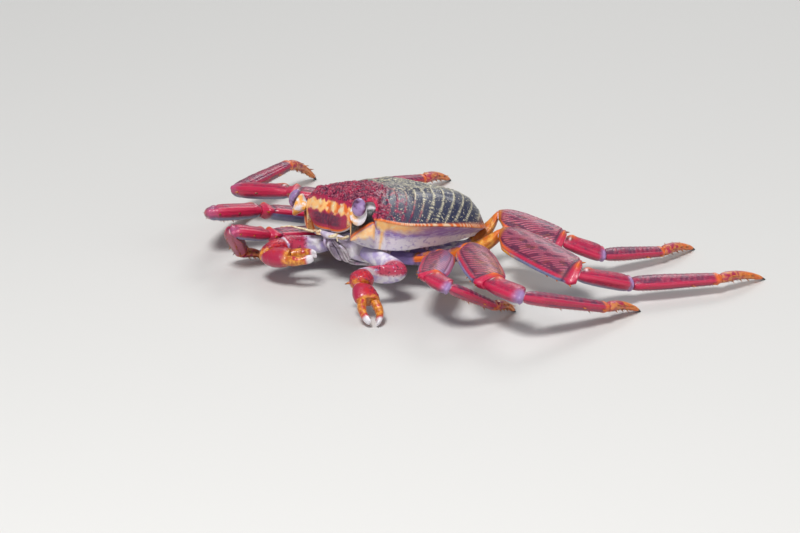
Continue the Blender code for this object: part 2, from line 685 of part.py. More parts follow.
def rest_on_origin():
    """Moves every mesh so that the crab's box stands centred on the origin."""
    objects = [obj for obj in bpy.context.scene.collection.objects if obj.type == "MESH"]
    low = np.full(3, np.inf)
    high = np.full(3, -np.inf)
    for obj in objects:
        points = np.array([v.co for v in obj.data.vertices])
        low = np.minimum(low, points.min(axis=0))
        high = np.maximum(high, points.max(axis=0))
    shift = ((low[0] + high[0]) / 2, (low[1] + high[1]) / 2, low[2])
    for obj in objects:
        for vertex in obj.data.vertices:
            vertex.co = [a - b for a, b in zip(vertex.co, shift)]
    print("moved by", [round(s / MM, 3) for s in shift])


def build():
    clear_scene()
    build_carapace()
    build_thorax()
    build_abdomen()
    for side in ("left", "right"):
        build_eye(side)
        build_antenna(side)
        build_maxilliped(side)
        for number in (2, 3, 4, 5):
            build_leg(side, number)
        build_claw(side)
    rest_on_origin()


build()
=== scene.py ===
import math

import bmesh
import bpy
import numpy as np
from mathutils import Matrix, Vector


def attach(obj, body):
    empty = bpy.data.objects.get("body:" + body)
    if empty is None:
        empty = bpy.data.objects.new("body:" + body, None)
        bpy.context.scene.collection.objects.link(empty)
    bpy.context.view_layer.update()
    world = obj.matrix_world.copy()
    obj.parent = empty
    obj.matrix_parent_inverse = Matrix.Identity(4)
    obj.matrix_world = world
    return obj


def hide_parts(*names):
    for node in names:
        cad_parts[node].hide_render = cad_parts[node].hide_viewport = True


mm = 0.001
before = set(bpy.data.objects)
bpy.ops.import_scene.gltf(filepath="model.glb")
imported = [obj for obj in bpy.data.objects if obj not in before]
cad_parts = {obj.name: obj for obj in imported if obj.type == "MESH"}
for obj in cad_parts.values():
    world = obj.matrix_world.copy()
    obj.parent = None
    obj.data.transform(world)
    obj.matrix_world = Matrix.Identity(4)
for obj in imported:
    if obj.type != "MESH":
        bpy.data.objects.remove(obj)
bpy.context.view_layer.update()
print("frame loaded")

# how the crab stands: body turned and lifted over the floor, then moved onto the origin (mm, degrees)
stance = {
    "noseUp": 11.0,
    "leftUp": 8.5,
    "turn": -3.0,
    "bodyAt": (-1.7, -2.2, 24.0),
    "originAt": (-5.237, 28.03, 0.0),
    "jointGap": 0.3,
    "skinDepth": 1.6,
}


def unit(v):
    v = np.asarray(v, float)
    return v / np.linalg.norm(v)


def tiltMatrix():
    p, r, t = (math.radians(stance[key]) for key in ("noseUp", "leftUp", "turn"))
    pitch = np.array([[1, 0, 0], [0, math.cos(p), math.sin(p)], [0, -math.sin(p), math.cos(p)]])
    roll = np.array([[math.cos(r), 0, -math.sin(r)], [0, 1, 0], [math.sin(r), 0, math.cos(r)]])
    spin = np.array([[math.cos(t), -math.sin(t), 0], [math.sin(t), math.cos(t), 0], [0, 0, 1]])
    return spin @ pitch @ roll


tilt = tiltMatrix()


def turned(points):
    points = np.asarray(points, float)
    return (points.reshape(-1, 3) @ tilt.T).reshape(points.shape)


def placed(points):
    return turned(points) + stance["bodyAt"]


# tables give the left side; x changes its sign for the right
def sided(points, side):
    return np.asarray(points, float) * (1 if side == "left" else -1, 1, 1)


def bump(value, centre, width):
    return np.exp(-(((value - centre) / width) ** 2))


def ramp(value, low, high):
    t = np.clip((value - low) / (high - low), 0.0, 1.0)
    return t * t * (3 - 2 * t)


def fade(value, low, high):
    return 1 - ramp(value, low, high)


# rises over the first two values and falls over the last two
def band(value, foot, top, drop, end):
    return ramp(value, foot, top) * fade(value, drop, end)


# slow random field from -1 to 1 that repeats nowhere on the crab
def waves(x, y, seed, size):
    rng = np.random.default_rng(seed)
    total = 0
    for _ in range(5):
        angle, phase = rng.uniform(0, math.tau, 2)
        step = math.tau / size * rng.uniform(0.6, 1.6)
        total = total + np.sin((x * math.cos(angle) + y * math.sin(angle)) * step + phase)
    return total / 3.2


# smooth curve through rows of values, without overshoot
def smoothCurve(knots, values, at):
    knots, values, at = (np.asarray(v, float) for v in (knots, values, at))
    step = np.diff(knots)
    slope = np.diff(values) / step
    tangent = np.zeros(len(knots))
    tangent[0], tangent[-1] = slope[0], slope[-1]
    for k in range(1, len(knots) - 1):
        if slope[k - 1] * slope[k] > 0:
            tangent[k] = 2 * slope[k - 1] * slope[k] / (slope[k - 1] + slope[k])
    k = np.clip(np.searchsorted(knots, at) - 1, 0, len(step) - 1)
    t = (at - knots[k]) / step[k]
    a = (1 + 2 * t) * (1 - t) ** 2
    b = t * (1 - t) ** 2
    c = t * t * (3 - 2 * t)
    d = t * t * (t - 1)
    return a * values[k] + b * step[k] * tangent[k] + c * values[k + 1] + d * step[k] * tangent[k + 1]


def profile(rows, column, at):
    return smoothCurve([row[0] for row in rows], [row[column] for row in rows], at)


def anglesAround(count):
    return math.tau * (np.arange(count) + 0.5) / count


def signedPower(value, power):
    return np.sign(value) * np.abs(value) ** power


# points of an oval ring around a centre
def ovalRing(centre, angle, side, wide, rise, high):
    return centre + np.outer(np.cos(angle) * wide, side) + np.outer(np.sin(angle) * high, rise)


def outwards(grid):
    out = grid - grid.mean(axis=1, keepdims=True)
    return out / np.linalg.norm(out, axis=2, keepdims=True)


def gridNormals(grid):
    down = np.gradient(grid, axis=0)
    wrapped = np.concatenate([grid[:, -1:], grid, grid[:, :1]], axis=1)
    across = np.gradient(wrapped, axis=1)[:, 1:-1]
    normal = np.cross(across, down)
    return normal / np.maximum(np.linalg.norm(normal, axis=2, keepdims=True), 1e-9)


def gridFaces(rows, count):
    k, i = np.meshgrid(np.arange(rows - 1), np.arange(count), indexing="ij")
    j = (i + 1) % count
    quads = np.stack([k * count + i, k * count + j, (k + 1) * count + j, (k + 1) * count + i], axis=-1)
    faces = quads.reshape(-1, 4).tolist()
    last, pole = (rows - 1) * count, rows * count
    for i in range(count):
        j = (i + 1) % count
        faces += [(pole, j, i), (pole + 1, last + i, last + j)]
    return faces


# three shrinking rings at each end, so that a piece closes with a soft lip
def roundEnds(grid, masks):
    first, last = grid[0].mean(axis=0), grid[-1].mean(axis=0)
    head = [first + (grid[0] - first) * k for k in (0.35, 0.7, 0.9)]
    tail = [last + (grid[-1] - last) * k for k in (0.9, 0.7, 0.35)]
    wide = {}
    for key, values in masks.items():
        values = np.broadcast_to(values, grid.shape[:2])
        wide[key] = np.concatenate([values[:1]] * 3 + [values] + [values[-1:]] * 3)
    return np.concatenate([head, grid, tail]), wide


def finish(obj, slotName, *nodes):
    bpy.context.scene.collection.objects.link(obj)
    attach(obj, "root")
    if nodes:
        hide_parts(*nodes)


# a piece from rings of points, closed by a pole at each end; masks colour it point by point
def addPiece(name, grid, masks, look, slotName, *nodes):
    rows, count = grid.shape[:2]
    points = np.concatenate([grid.reshape(-1, 3), [grid[0].mean(axis=0)], [grid[-1].mean(axis=0)]])
    mesh = bpy.data.meshes.new(name)
    mesh.from_pydata(((points - stance["originAt"]) * mm).tolist(), [], gridFaces(rows, count))
    bm = bmesh.new()
    bm.from_mesh(mesh)
    bmesh.ops.recalc_face_normals(bm, faces=bm.faces)
    bm.to_mesh(mesh)
    bm.free()
    for key, values in masks.items():
        values = np.broadcast_to(values, (rows, count))
        values = np.concatenate([values.reshape(-1), [values[0].mean(), values[-1].mean()]])
        layer = mesh.attributes.new(key, "FLOAT", "POINT")
        layer.data.foreach_set("value", np.ascontiguousarray(values, np.float32))
    mesh.polygons.foreach_set("use_smooth", [True] * len(mesh.polygons))
    mesh.materials.append(materials[look])
    finish(bpy.data.objects.new(name, mesh), slotName, *nodes)


def addBodyPiece(name, grid, *rest):
    addPiece(name, placed(grid), *rest)


# random points of a grid's skin with their outward direction; weight says where they may lie
def scatterOn(grid, weight, count, rng):
    columns = grid.shape[1]
    a, b, c = grid[:-1], np.roll(grid, -1, axis=1)[:-1], grid[1:]
    cross = np.cross(b - a, c - a)
    area = np.linalg.norm(cross, axis=2)
    chance = (area * weight[:-1]).reshape(-1)
    middle = grid.reshape(-1, 3).mean(axis=0)
    spots = []
    for pick in rng.choice(chance.size, count, p=chance / chance.sum()):
        k, i = divmod(int(pick), columns)
        u, v = rng.uniform(0, 1, 2)
        at = a[k, i] + (b[k, i] - a[k, i]) * u + (c[k, i] - a[k, i]) * v
        out = cross[k, i] / area[k, i]
        spots.append((at, out if out @ (at - middle) > 0 else -out))
    return spots


def granuleSpots(grid, weight, count, rng, low, high, flat=0.6):
    spots = []
    for at, out in scatterOn(grid, weight, count, rng):
        size = rng.uniform(low, high)
        spots.append((at, out, size * flat, size))
    return spots


palette = {
    "night": (0.013, 0.016, 0.050),
    "plum": (0.055, 0.008, 0.040),
    "crimson": (0.36, 0.008, 0.055),
    "mauve": (0.13, 0.018, 0.060),
    "rose": (0.50, 0.010, 0.060),
    "scarlet": (0.50, 0.007, 0.018),
    "pink": (0.62, 0.13, 0.20),
    "cream": (0.76, 0.69, 0.47),
    "gold": (0.80, 0.36, 0.05),
    "amber": (0.50, 0.14, 0.012),
    "orange": (0.70, 0.13, 0.012),
    "lavender": (0.29, 0.20, 0.50),
    "white": (0.76, 0.72, 0.76),
    # near black: the toe tips' own colour, and painted shade in the eye sockets and knee notches
    "blackAndShade": (0.010, 0.008, 0.010),
    "mist": (0.30, 0.18, 0.38),
    "slate": (0.17, 0.21, 0.36),
    "peach": (0.90, 0.50, 0.17),
    "floor": (0.62, 0.61, 0.59),
}


# a node with its inputs set, or linked where the value is another node's output
def addNode(tree, kind, inputs, **settings):
    node = tree.nodes.new(kind)
    for key, value in settings.items():
        setattr(node, key, value)
    for key, value in inputs.items():
        if isinstance(value, bpy.types.NodeSocket):
            tree.links.new(value, node.inputs[key])
        else:
            node.inputs[key].default_value = value
    return node


def noiseMask(tree, size, low, high, detail=3.0, stretch=1.0):
    place = tree.nodes.new("ShaderNodeTexCoord").outputs["Object"]
    long = addNode(tree, "ShaderNodeVectorMath", {0: place, 1: (1, 1 / stretch, 1)}, operation="MULTIPLY")
    grain = {"Vector": long.outputs["Vector"], "Scale": 1 / (size * mm), "Detail": detail}
    noise = addNode(tree, "ShaderNodeTexNoise", grain)
    limits = {"Value": noise.outputs["Fac"], "From Min": low, "From Max": high}
    return addNode(tree, "ShaderNodeMapRange", limits, interpolation_type="SMOOTHSTEP").outputs["Result"]


def times(tree, a, b, clamp=False):
    return addNode(tree, "ShaderNodeMath", {0: a, 1: b}, operation="MULTIPLY", use_clamp=clamp).outputs[0]


def layerFactor(tree, mask, amount=1, noise=None):
    factor = mask and addNode(tree, "ShaderNodeAttribute", {}, attribute_name=mask).outputs["Fac"]
    if noise:
        speckle = noiseMask(tree, *noise)
        factor = times(tree, factor, speckle, True) if mask else speckle
    return factor if amount == 1 else times(tree, factor, amount)


# layers over the base colour: mask on the mesh, colour, amount, noise (size mm, low, high, detail, stretch)
def shellMaterial(name, base, layers=(), roughness=0.36, coat=0.22, grain=(0.5, 0.12), coatRoughness=0.18):
    material = bpy.data.materials.new(name)
    material.use_nodes = True
    tree = material.node_tree
    shader = tree.nodes["Principled BSDF"]
    colour = (*palette[base], 1)
    shader.inputs["Base Color"].default_value = colour
    shader.inputs["Roughness"].default_value = roughness
    shader.inputs["Coat Weight"].default_value = coat
    shader.inputs["Coat Roughness"].default_value = coatRoughness
    for mask, tint, *rest in layers:
        mixed = {"Factor": layerFactor(tree, mask, *rest), 6: colour, 7: (*palette[tint], 1)}
        colour = addNode(tree, "ShaderNodeMix", mixed, data_type="RGBA").outputs[2]
    if layers:
        tree.links.new(colour, shader.inputs["Base Color"])
    if grain:
        size, height = grain
        relief = {"Distance": height * mm, "Strength": 0.6, "Height": noiseMask(tree, size, 0.3, 0.7, 2.0)}
        tree.links.new(addNode(tree, "ShaderNodeBump", relief).outputs["Normal"], shader.inputs["Normal"])
    return material


materials = {
    "shell": shellMaterial("back shell", "night", (
        ("front", "crimson"),
        ("front", "plum", 0.9, (1.4, 0.40, 0.52)),
        ("front", "pink", 0.5, (0.9, 0.60, 0.66)),
        ("blush", "crimson", 0.8, (2.2, 0.52, 0.6)),
        ("mottle", "cream", 0.8, (1.1, 0.53, 0.59)),
        ("speck", "cream", 0.8, (0.8, 0.63, 0.67)),
        ("stria", "cream", 1, (0.7, 0.34, 0.46)),
        ("redStria", "crimson"),
        ("wall", "lavender"),
        ("wall", "white", 0.4, (0.8, 0.46, 0.58, 3.0, 6.0)),
        ("wall", "mist", 0.7, (1.6, 0.50, 0.62, 2.0, 5.0)),
        ("wallLow", "white", 0.9, (2.0, 0.25, 0.5)),
        ("seam", "peach", 1, (3.6, 0.26, 0.44)),
        ("seam", "cream", 0.55, (2.4, 0.46, 0.66)),
        ("plate", "crimson"),
        ("plateDark", "plum", 0.5),
        ("plateDark", "plum", 0.8, (0.7, 0.36, 0.50)),
        ("plateTop", "orange", 1, (2.2, 0.26, 0.34)),
        ("plateTop", "peach", 1, (3.6, 0.36, 0.56)),
        ("plateTop", "cream", 0.8, (2.8, 0.46, 0.66)),
        ("lobes", "crimson"),
        # painted shade: near black down in the eye socket's hollow
        ("socket", "blackAndShade"),
        ("glint", "white"),
        ("hood", "rose", 1, (1.2, 0.2, 0.5)),
        ("rim", "orange"),
        ("bead", "cream"),
        ("under", "white"),
    ), roughness=0.34, coat=0.25, grain=(0.45, 0.10)),
    "upper": shellMaterial("leg upper piece", "mauve", (
        (None, "crimson", 0.4, (5.0, 0.42, 0.66)),
        ("top", "amber", 0.30, (3.4, 0.52, 0.68)),
        ("blotch", "amber", 0.75, (4.0, 0.34, 0.56)),
        ("rear", "mist", 0.8),
        ("valley", "plum", 0.85),
        ("stria", "pink", 0.85),
        ("under", "slate"),
        ("under", "lavender", 0.6, (4.0, 0.45, 0.7)),
        ("hip", "gold"),
        ("hip", "orange", 0.7, (1.8, 0.5, 0.62)),
        ("edge", "rose"),
        ("streak", "orange"),
        ("root", "amber"),
        ("knee", "rose"),
        ("ring", "plum", 0.85),
        ("spot", "orange"),
    )),
    "knee": shellMaterial("leg knee piece", "crimson", (
        (None, "rose", 0.7, (2.5, 0.45, 0.6)),
        (None, "mauve", 0.6, (3.6, 0.50, 0.64)),
        (None, "plum", 0.35, (0.9, 0.60, 0.66)),
        ("edge", "rose"),
        ("under", "slate", 0.9),
        ("lobe", "mist"),
        # painted shade: near black in the notch at the knee joint
        ("notchShade", "blackAndShade"),
        # white sliver at the knee: pale joint skin with a painted highlight
        ("paleSkinHighlight", "white"),
        ("spot", "orange"),
    )),
    "shank": shellMaterial("leg lower piece", "mauve", (
        (None, "crimson", 0.8, (4.0, 0.40, 0.62)),
        ("valley", "plum", 0.35),
        ("edge", "rose", 0.8),
        ("stria", "pink", 0.3),
        ("under", "pink", 0.5),
        ("knee", "orange", 0.9),
    )),
    "toe": shellMaterial("leg toe", "orange", (
        ("shaft", "crimson"),
        (None, "gold", 0.5, (1.8, 0.42, 0.6)),
        ("knee", "blackAndShade"),
    )),
    "base": shellMaterial("leg base piece", "amber", (
        (None, "gold", 0.8, (3.4, 0.42, 0.62)),
        ("valley", "orange", 0.6),
        ("root", "white"),
        ("root", "lavender", 0.9, (2.6, 0.34, 0.6)),
        ("knee", "orange", 0.7),
    )),
    "nearBase": shellMaterial("near leg base piece", "mauve", (
        (None, "mist", 0.6, (3.4, 0.42, 0.62)),
        ("edge", "orange"),
        ("top", "amber", 0.8, (4.0, 0.40, 0.60)),
        ("root", "lavender"),
        ("knee", "orange"),
    )),
    "arm": shellMaterial("claw arm", "white", (
        (None, "lavender", 0.7, (4.0, 0.4, 0.62)),
        ("patch", "rose", 0.95, (1.3, 0.30, 0.40)),
        ("root", "lavender", 0.7),
    )),
    "claw": shellMaterial("claw shell", "scarlet", (
        (None, "crimson", 0.55, (2.6, 0.42, 0.6)),
        (None, "pink", 0.25, (0.7, 0.58, 0.64)),
        ("under", "crimson", 0.8),
        ("knee", "amber", 1, (2.0, 0.32, 0.5)),
        ("knee", "gold", 0.7, (1.4, 0.50, 0.62)),
        ("tip", "white"),
    ), roughness=0.28, coat=0.5),
    "belly": shellMaterial("belly shell", "white", (
        (None, "lavender", 0.5, (6.0, 0.4, 0.65)),
        ("flank", "pink", 0.6, (3.0, 0.35, 0.6)),
        # mauve over the mouthparts, more on their lower side: partly their own tone, partly painted shade
        # under the front
        ("mouth", "mauve", 0.45, (1.6, 0.30, 0.60)),
        ("groove", "plum", 0.7),
        ("top", "lavender", 0.6),
    ), roughness=0.4, coat=0.2),
    "stalk": shellMaterial("eye stalk", "white", (("root", "gold", 1, (2.0, 0.35, 0.6)),)),
    "feeler": shellMaterial("feeler", "cream", ((None, "amber", 0.6, (1.2, 0.45, 0.6)),)),
    "skin": shellMaterial("joint skin", "pink", ((None, "white", 1, (1.5, 0.4, 0.6)),), roughness=0.5),
    "spine": shellMaterial("spine horn", "amber", ((None, "plum", 0.6, (2.0, 0.45, 0.6)),)),
    "paleGranule": shellMaterial("pale granule", "cream", grain=None),
    "granule": shellMaterial("shell granule", "crimson", (
        (None, "plum", 0.75, (2.2, 0.44, 0.56)),
        (None, "pink", 0.45, (1.6, 0.56, 0.64)),
    ), grain=None),
    "eye": shellMaterial("eye cover", "plum", ((None, "mist", 1, (3.2, 0.30, 0.55)),), 0.08, 1.0, None, 0.03),
}
print("materials made")


# pointed or round pieces set by Geometry Nodes on points that carry their aim, length and thickness
def setPieceTree(name, rounded):
    tree = bpy.data.node_groups.new(name, "GeometryNodeTree")
    made = tree.interface
    made.new_socket("Geometry", in_out="INPUT", socket_type="NodeSocketGeometry")
    made.new_socket("Geometry", in_out="OUTPUT", socket_type="NodeSocketGeometry")
    made.new_socket("Sides", in_out="INPUT", socket_type="NodeSocketInt").default_value = 6
    made.new_socket("Tip", in_out="INPUT", socket_type="NodeSocketFloat").default_value = 0.12
    made.new_socket("Look", in_out="INPUT", socket_type="NodeSocketMaterial")
    start, sides, tip, look = list(tree.nodes.new("NodeGroupInput").outputs)[:4]
    points = addNode(tree, "GeometryNodeMeshToPoints", {"Mesh": start})
    if rounded:
        shape = addNode(tree, "GeometryNodeMeshIcoSphere", {"Radius": 1.0, "Subdivisions": 1})
    else:
        cone = {"Radius Bottom": 1.0, "Depth": 1.0, "Vertices": sides, "Radius Top": tip}
        shape = addNode(tree, "GeometryNodeMeshCone", cone)
    field = {}
    for key, kind in (("aim", "FLOAT_VECTOR"), ("long", "FLOAT"), ("thick", "FLOAT")):
        read = addNode(tree, "GeometryNodeInputNamedAttribute", {"Name": key}, data_type=kind)
        field[key] = read.outputs["Attribute"]
    aimed = addNode(tree, "FunctionNodeAlignRotationToVector", {"Vector": field["aim"]}, axis="Z")
    thick = field["thick"]
    size = addNode(tree, "ShaderNodeCombineXYZ", {"X": thick, "Y": thick, "Z": field["long"]})
    laid = addNode(tree, "GeometryNodeInstanceOnPoints", {
        "Points": points.outputs["Points"],
        "Instance": shape.outputs["Mesh"],
        "Rotation": aimed.outputs["Rotation"],
        "Scale": size.outputs["Vector"],
    })
    real = addNode(tree, "GeometryNodeRealizeInstances", {"Geometry": laid.outputs["Instances"]})
    smooth = addNode(tree, "GeometryNodeSetShadeSmooth", {"Geometry": real.outputs["Geometry"]})
    paint = addNode(tree, "GeometryNodeSetMaterial", {"Geometry": smooth.outputs[0], "Material": look})
    addNode(tree, "NodeGroupOutput", {0: paint.outputs["Geometry"]})
    return tree


trees = {"spine": setPieceTree("set spines", False), "bead": setPieceTree("set beads", True)}


# spots: rows of point, aim, length and thickness in mm
def setPieces(name, kind, spots, look, slotName, sides=6, tip=0.12):
    carrier = bpy.data.meshes.new(name + " points")
    places = np.array([s[0] for s in spots]) - stance["originAt"]
    carrier.from_pydata((places * mm).tolist(), [], [])
    aim = carrier.attributes.new("aim", "FLOAT_VECTOR", "POINT")
    aim.data.foreach_set("vector", np.array([s[1] for s in spots], np.float32).reshape(-1))
    for key, column in (("long", 2), ("thick", 3)):
        layer = carrier.attributes.new(key, "FLOAT", "POINT")
        layer.data.foreach_set("value", np.array([s[column] * mm for s in spots], np.float32))
    holder = bpy.data.objects.new(name + " points", carrier)
    bpy.context.scene.collection.objects.link(holder)
    modifier = holder.modifiers.new("set", "NODES")
    modifier.node_group = trees[kind]
    sockets = {s.name: s.identifier for s in trees[kind].interface.items_tree if s.in_out == "INPUT"}
    modifier[sockets["Sides"]] = sides
    modifier[sockets["Tip"]] = tip
    modifier[sockets["Look"]] = materials[look]
    bpy.context.view_layer.update()
    graph = bpy.context.evaluated_depsgraph_get()
    mesh = bpy.data.meshes.new_from_object(holder.evaluated_get(graph))
    mesh.name = name
    bpy.data.objects.remove(holder)
    finish(bpy.data.objects.new(name, mesh), slotName)


# carapace
shell = {
    # lengths in mm, turns in degrees from the front
    "halfWidth": 34.0,
    "frontLength": 28.5,
    "rearLength": 35.5,
    "frontPower": 2.6,
    "rearPower": 2.75,
    "domeHeight": 11.5,
    "frontHalf": 15.5,
    "plateTurn": 20,
    "crest": (-27.6, 6.6),
    "frontLow": (-27.9, -6.2),
    "rearDrop": 2.7,
    "orbitDepth": 4.4,
    "orbitRise": 4.2,
    "wallBottomFront": -11.0,
    "wallBottomRear": -5.6,
    "wallInset": 0.19,
    "skirt": 3.0,
    "ceiling": -4.2,
    "striaSpacing": 4.3,
    "striaSlant": 0.00042,
    "striaHeight": 0.28,
    "granules": 1700,
    "plateGranules": 150,
    "paleGranules": 420,
    "dorsalRows": 112,
    "wallRows": 44,
}


# x and y of the shell's outline at a turn from the front
def outline(turn):
    c, s = math.cos(turn), math.sin(turn)
    end = "front" if c > 0 else "rear"
    power, length = shell[f"{end}Power"], shell[f"{end}Length"]
    return shell["halfWidth"] * signedPower(s, 2 / power), -length * signedPower(c, 2 / power)


# edge of the back: front plate up to plateTurn, eye socket up to twice that, then the toothed side
def marginPoint(degrees):
    away = abs(degrees)
    plateTurn = shell["plateTurn"]
    crestY, crestZ = shell["crest"]
    x, y = outline(math.radians(degrees))
    z = 0.0
    if away <= plateTurn:
        corner = (away / plateTurn) ** 4
        x = math.copysign(shell["frontHalf"] * away / plateTurn, degrees)
        y = crestY + 0.5 * corner + 0.9 * bump(away, 0, 2.5)
        z = crestZ - 0.7 * bump(away, 0, 2.5) - 0.5 * bump(away, 10, 2.2) - 1.8 * corner
    elif away < 2 * plateTurn:
        t = (away - plateTurn) / plateTurn
        y += shell["orbitDepth"] * math.sin(math.pi * t) ** 0.8
        z = (crestZ - 1.8) * (1 - t) + 1.2 * t + shell["orbitRise"] * math.sin(math.pi * t) ** 0.9
    else:
        tooth = 1.3 * bump(away, 41, 1.6) + 0.9 * bump(away, 52, 2.5)
        grow = 1 + tooth / math.hypot(x, y)
        x, y = x * grow, y * grow
        z = 1.2 * fade(away, 41, 70) - shell["rearDrop"] * ramp(away, 85, 160)
    return x, y, z


# swellings of the back's regions and the grooves between them
def regions(x, y):
    ax = abs(x)
    lift = 0.9 * bump(ax, 4.2, 2.6) * bump(y, -25.5, 2.6)
    lift += 0.8 * bump(ax, 11.0, 2.4) * bump(y, -24.5, 2.6)
    lift += 0.8 * bump(x, 0, 9) * bump(y, -9, 8)
    lift += 0.7 * bump(ax, 20, 8) * bump(y, 8, 13)
    lift += 0.5 * bump(x, 0, 6) * bump(y, 15, 6)
    groove = 3.0 + 0.028 * ax * ax - 0.25 * ax
    lift -= 0.9 * bump(y, groove - 2.0, 2.4) * band(ax, 3, 8, 22, 29)
    return lift - 0.5 * bump(x, 0, 1.6) * bump(y, -27, 5)


def dorsalColumn(degrees, steps):
    x, y, z = marginPoint(degrees)
    centreY = 1.5
    px, py = x * steps, centreY + (y - centreY) * steps
    away = abs(degrees)
    fullness = 4.2 - 1.5 * ramp(away, 12, 48) + 5.0 * ramp(away, 75, 125)
    height = shell["domeHeight"] * (1 - steps**fullness) + z * steps**4
    return np.stack([px, py, height + regions(px, py) * (1 - steps**8)], 1)


# front plate, eye socket or side wall, from the edge of the back down
def wallColumn(degrees, steps):
    away, plateTurn = abs(degrees), shell["plateTurn"]
    x, y, z = marginPoint(degrees)
    if away <= plateTurn:
        lowY, lowZ = shell["frontLow"]
        corner = (away / plateTurn) ** 4 * steps**2
        reach = (lowY - shell["crest"][0]) * steps - 1.0 * np.sin(math.pi * steps)
        lowered = z + (lowZ - z) * steps + 3.2 * corner
        return np.stack([x * (1 - 0.12 * steps**3), y + reach + 0.8 * corner, lowered], 1)
    bottom = shell["wallBottomFront"]
    bottom += (shell["wallBottomRear"] - shell["wallBottomFront"]) * ramp(away, 62, 135)
    inset = shell["wallInset"] * (1 - 0.5 * ramp(away, 90, 150))
    shrink = 1 - inset * steps**1.2 - 0.02 * np.sin(math.pi * steps)
    if away >= 42:
        return np.stack([x * shrink, y * shrink, z + (bottom - z) * steps], 1)
    t = (away - plateTurn) / 22
    hollow = shell["orbitDepth"] * math.sin(math.pi * t) ** 0.8
    rimX, rimY = outline(math.radians(degrees))
    rimZ = -8.0 + 8.6 * t**0.8
    stages = (
        (0.0, x, y, z),
        (0.2, x * 0.96, y + 0.6 * hollow, z - 1.6),
        (0.42, rimX * 0.94, rimY + 1.1 * hollow, (z + rimZ) / 2 - 0.4),
        (0.6, rimX * 0.99, rimY + 0.2, rimZ),
        (0.8, rimX * 0.98, rimY * 0.985, (rimZ * 1.2 + bottom) / 2.2 + 0.6 * (1 - t) ** 2),
        (1.0, math.copysign(12.5 + 8.6 * t, degrees), -24.5 + 6.1 * t, bottom + 2.0 * (1 - t) ** 2),
    )
    return np.stack([profile(stages, axis, steps) for axis in (1, 2, 3)], 1)


def underColumn(degrees, low):
    x, y, z = low
    ceiling = shell["ceiling"]
    if abs(degrees) <= shell["plateTurn"]:
        return np.array([
            (x * 0.99, y + 0.4, z - 0.5),
            (x * 0.96, y + 1.6, z - 0.4),
            (x * 0.9, y + 2.4, ceiling - 0.6),
            (x * 0.5, -14, ceiling),
        ])
    reach = math.hypot(x, y)
    lip, inner = 1 - 0.5 * shell["skirt"] / reach, 1 - shell["skirt"] / reach
    return np.array([
        (x * lip, y * lip, z - 0.25),
        (x * inner, y * inner, z + 0.3),
        (x * inner * 0.96, y * inner * 0.96, max(ceiling, z + 1.2) - 0.6),
        (x * 0.5, y * 0.5, ceiling),
    ])


# columns lie closest round the front plate and the eye sockets
def shellTurns():
    half = np.concatenate([
        np.linspace(0, shell["plateTurn"], 60, endpoint=False),
        np.linspace(shell["plateTurn"], 45, 64, endpoint=False),
        np.linspace(45, 180, 150),
    ])
    return np.concatenate([-half[::-1][1:-1], half])


# nearness to the oblique raised lines of the back, 0 to 1, and height of the terrace between them
def striaField(x, y):
    ax = np.abs(x)
    phase = (y + shell["striaSlant"] * ax**3 + 0.7 * waves(ax, y, 3, 26) + 11.0) / shell["striaSpacing"]
    off = (phase - np.round(phase)) * shell["striaSpacing"]
    return bump(off, 0, 0.29 + 0.07 * waves(x * 1.5, y, 67, 4)), (phase - np.floor(phase)) ** 2


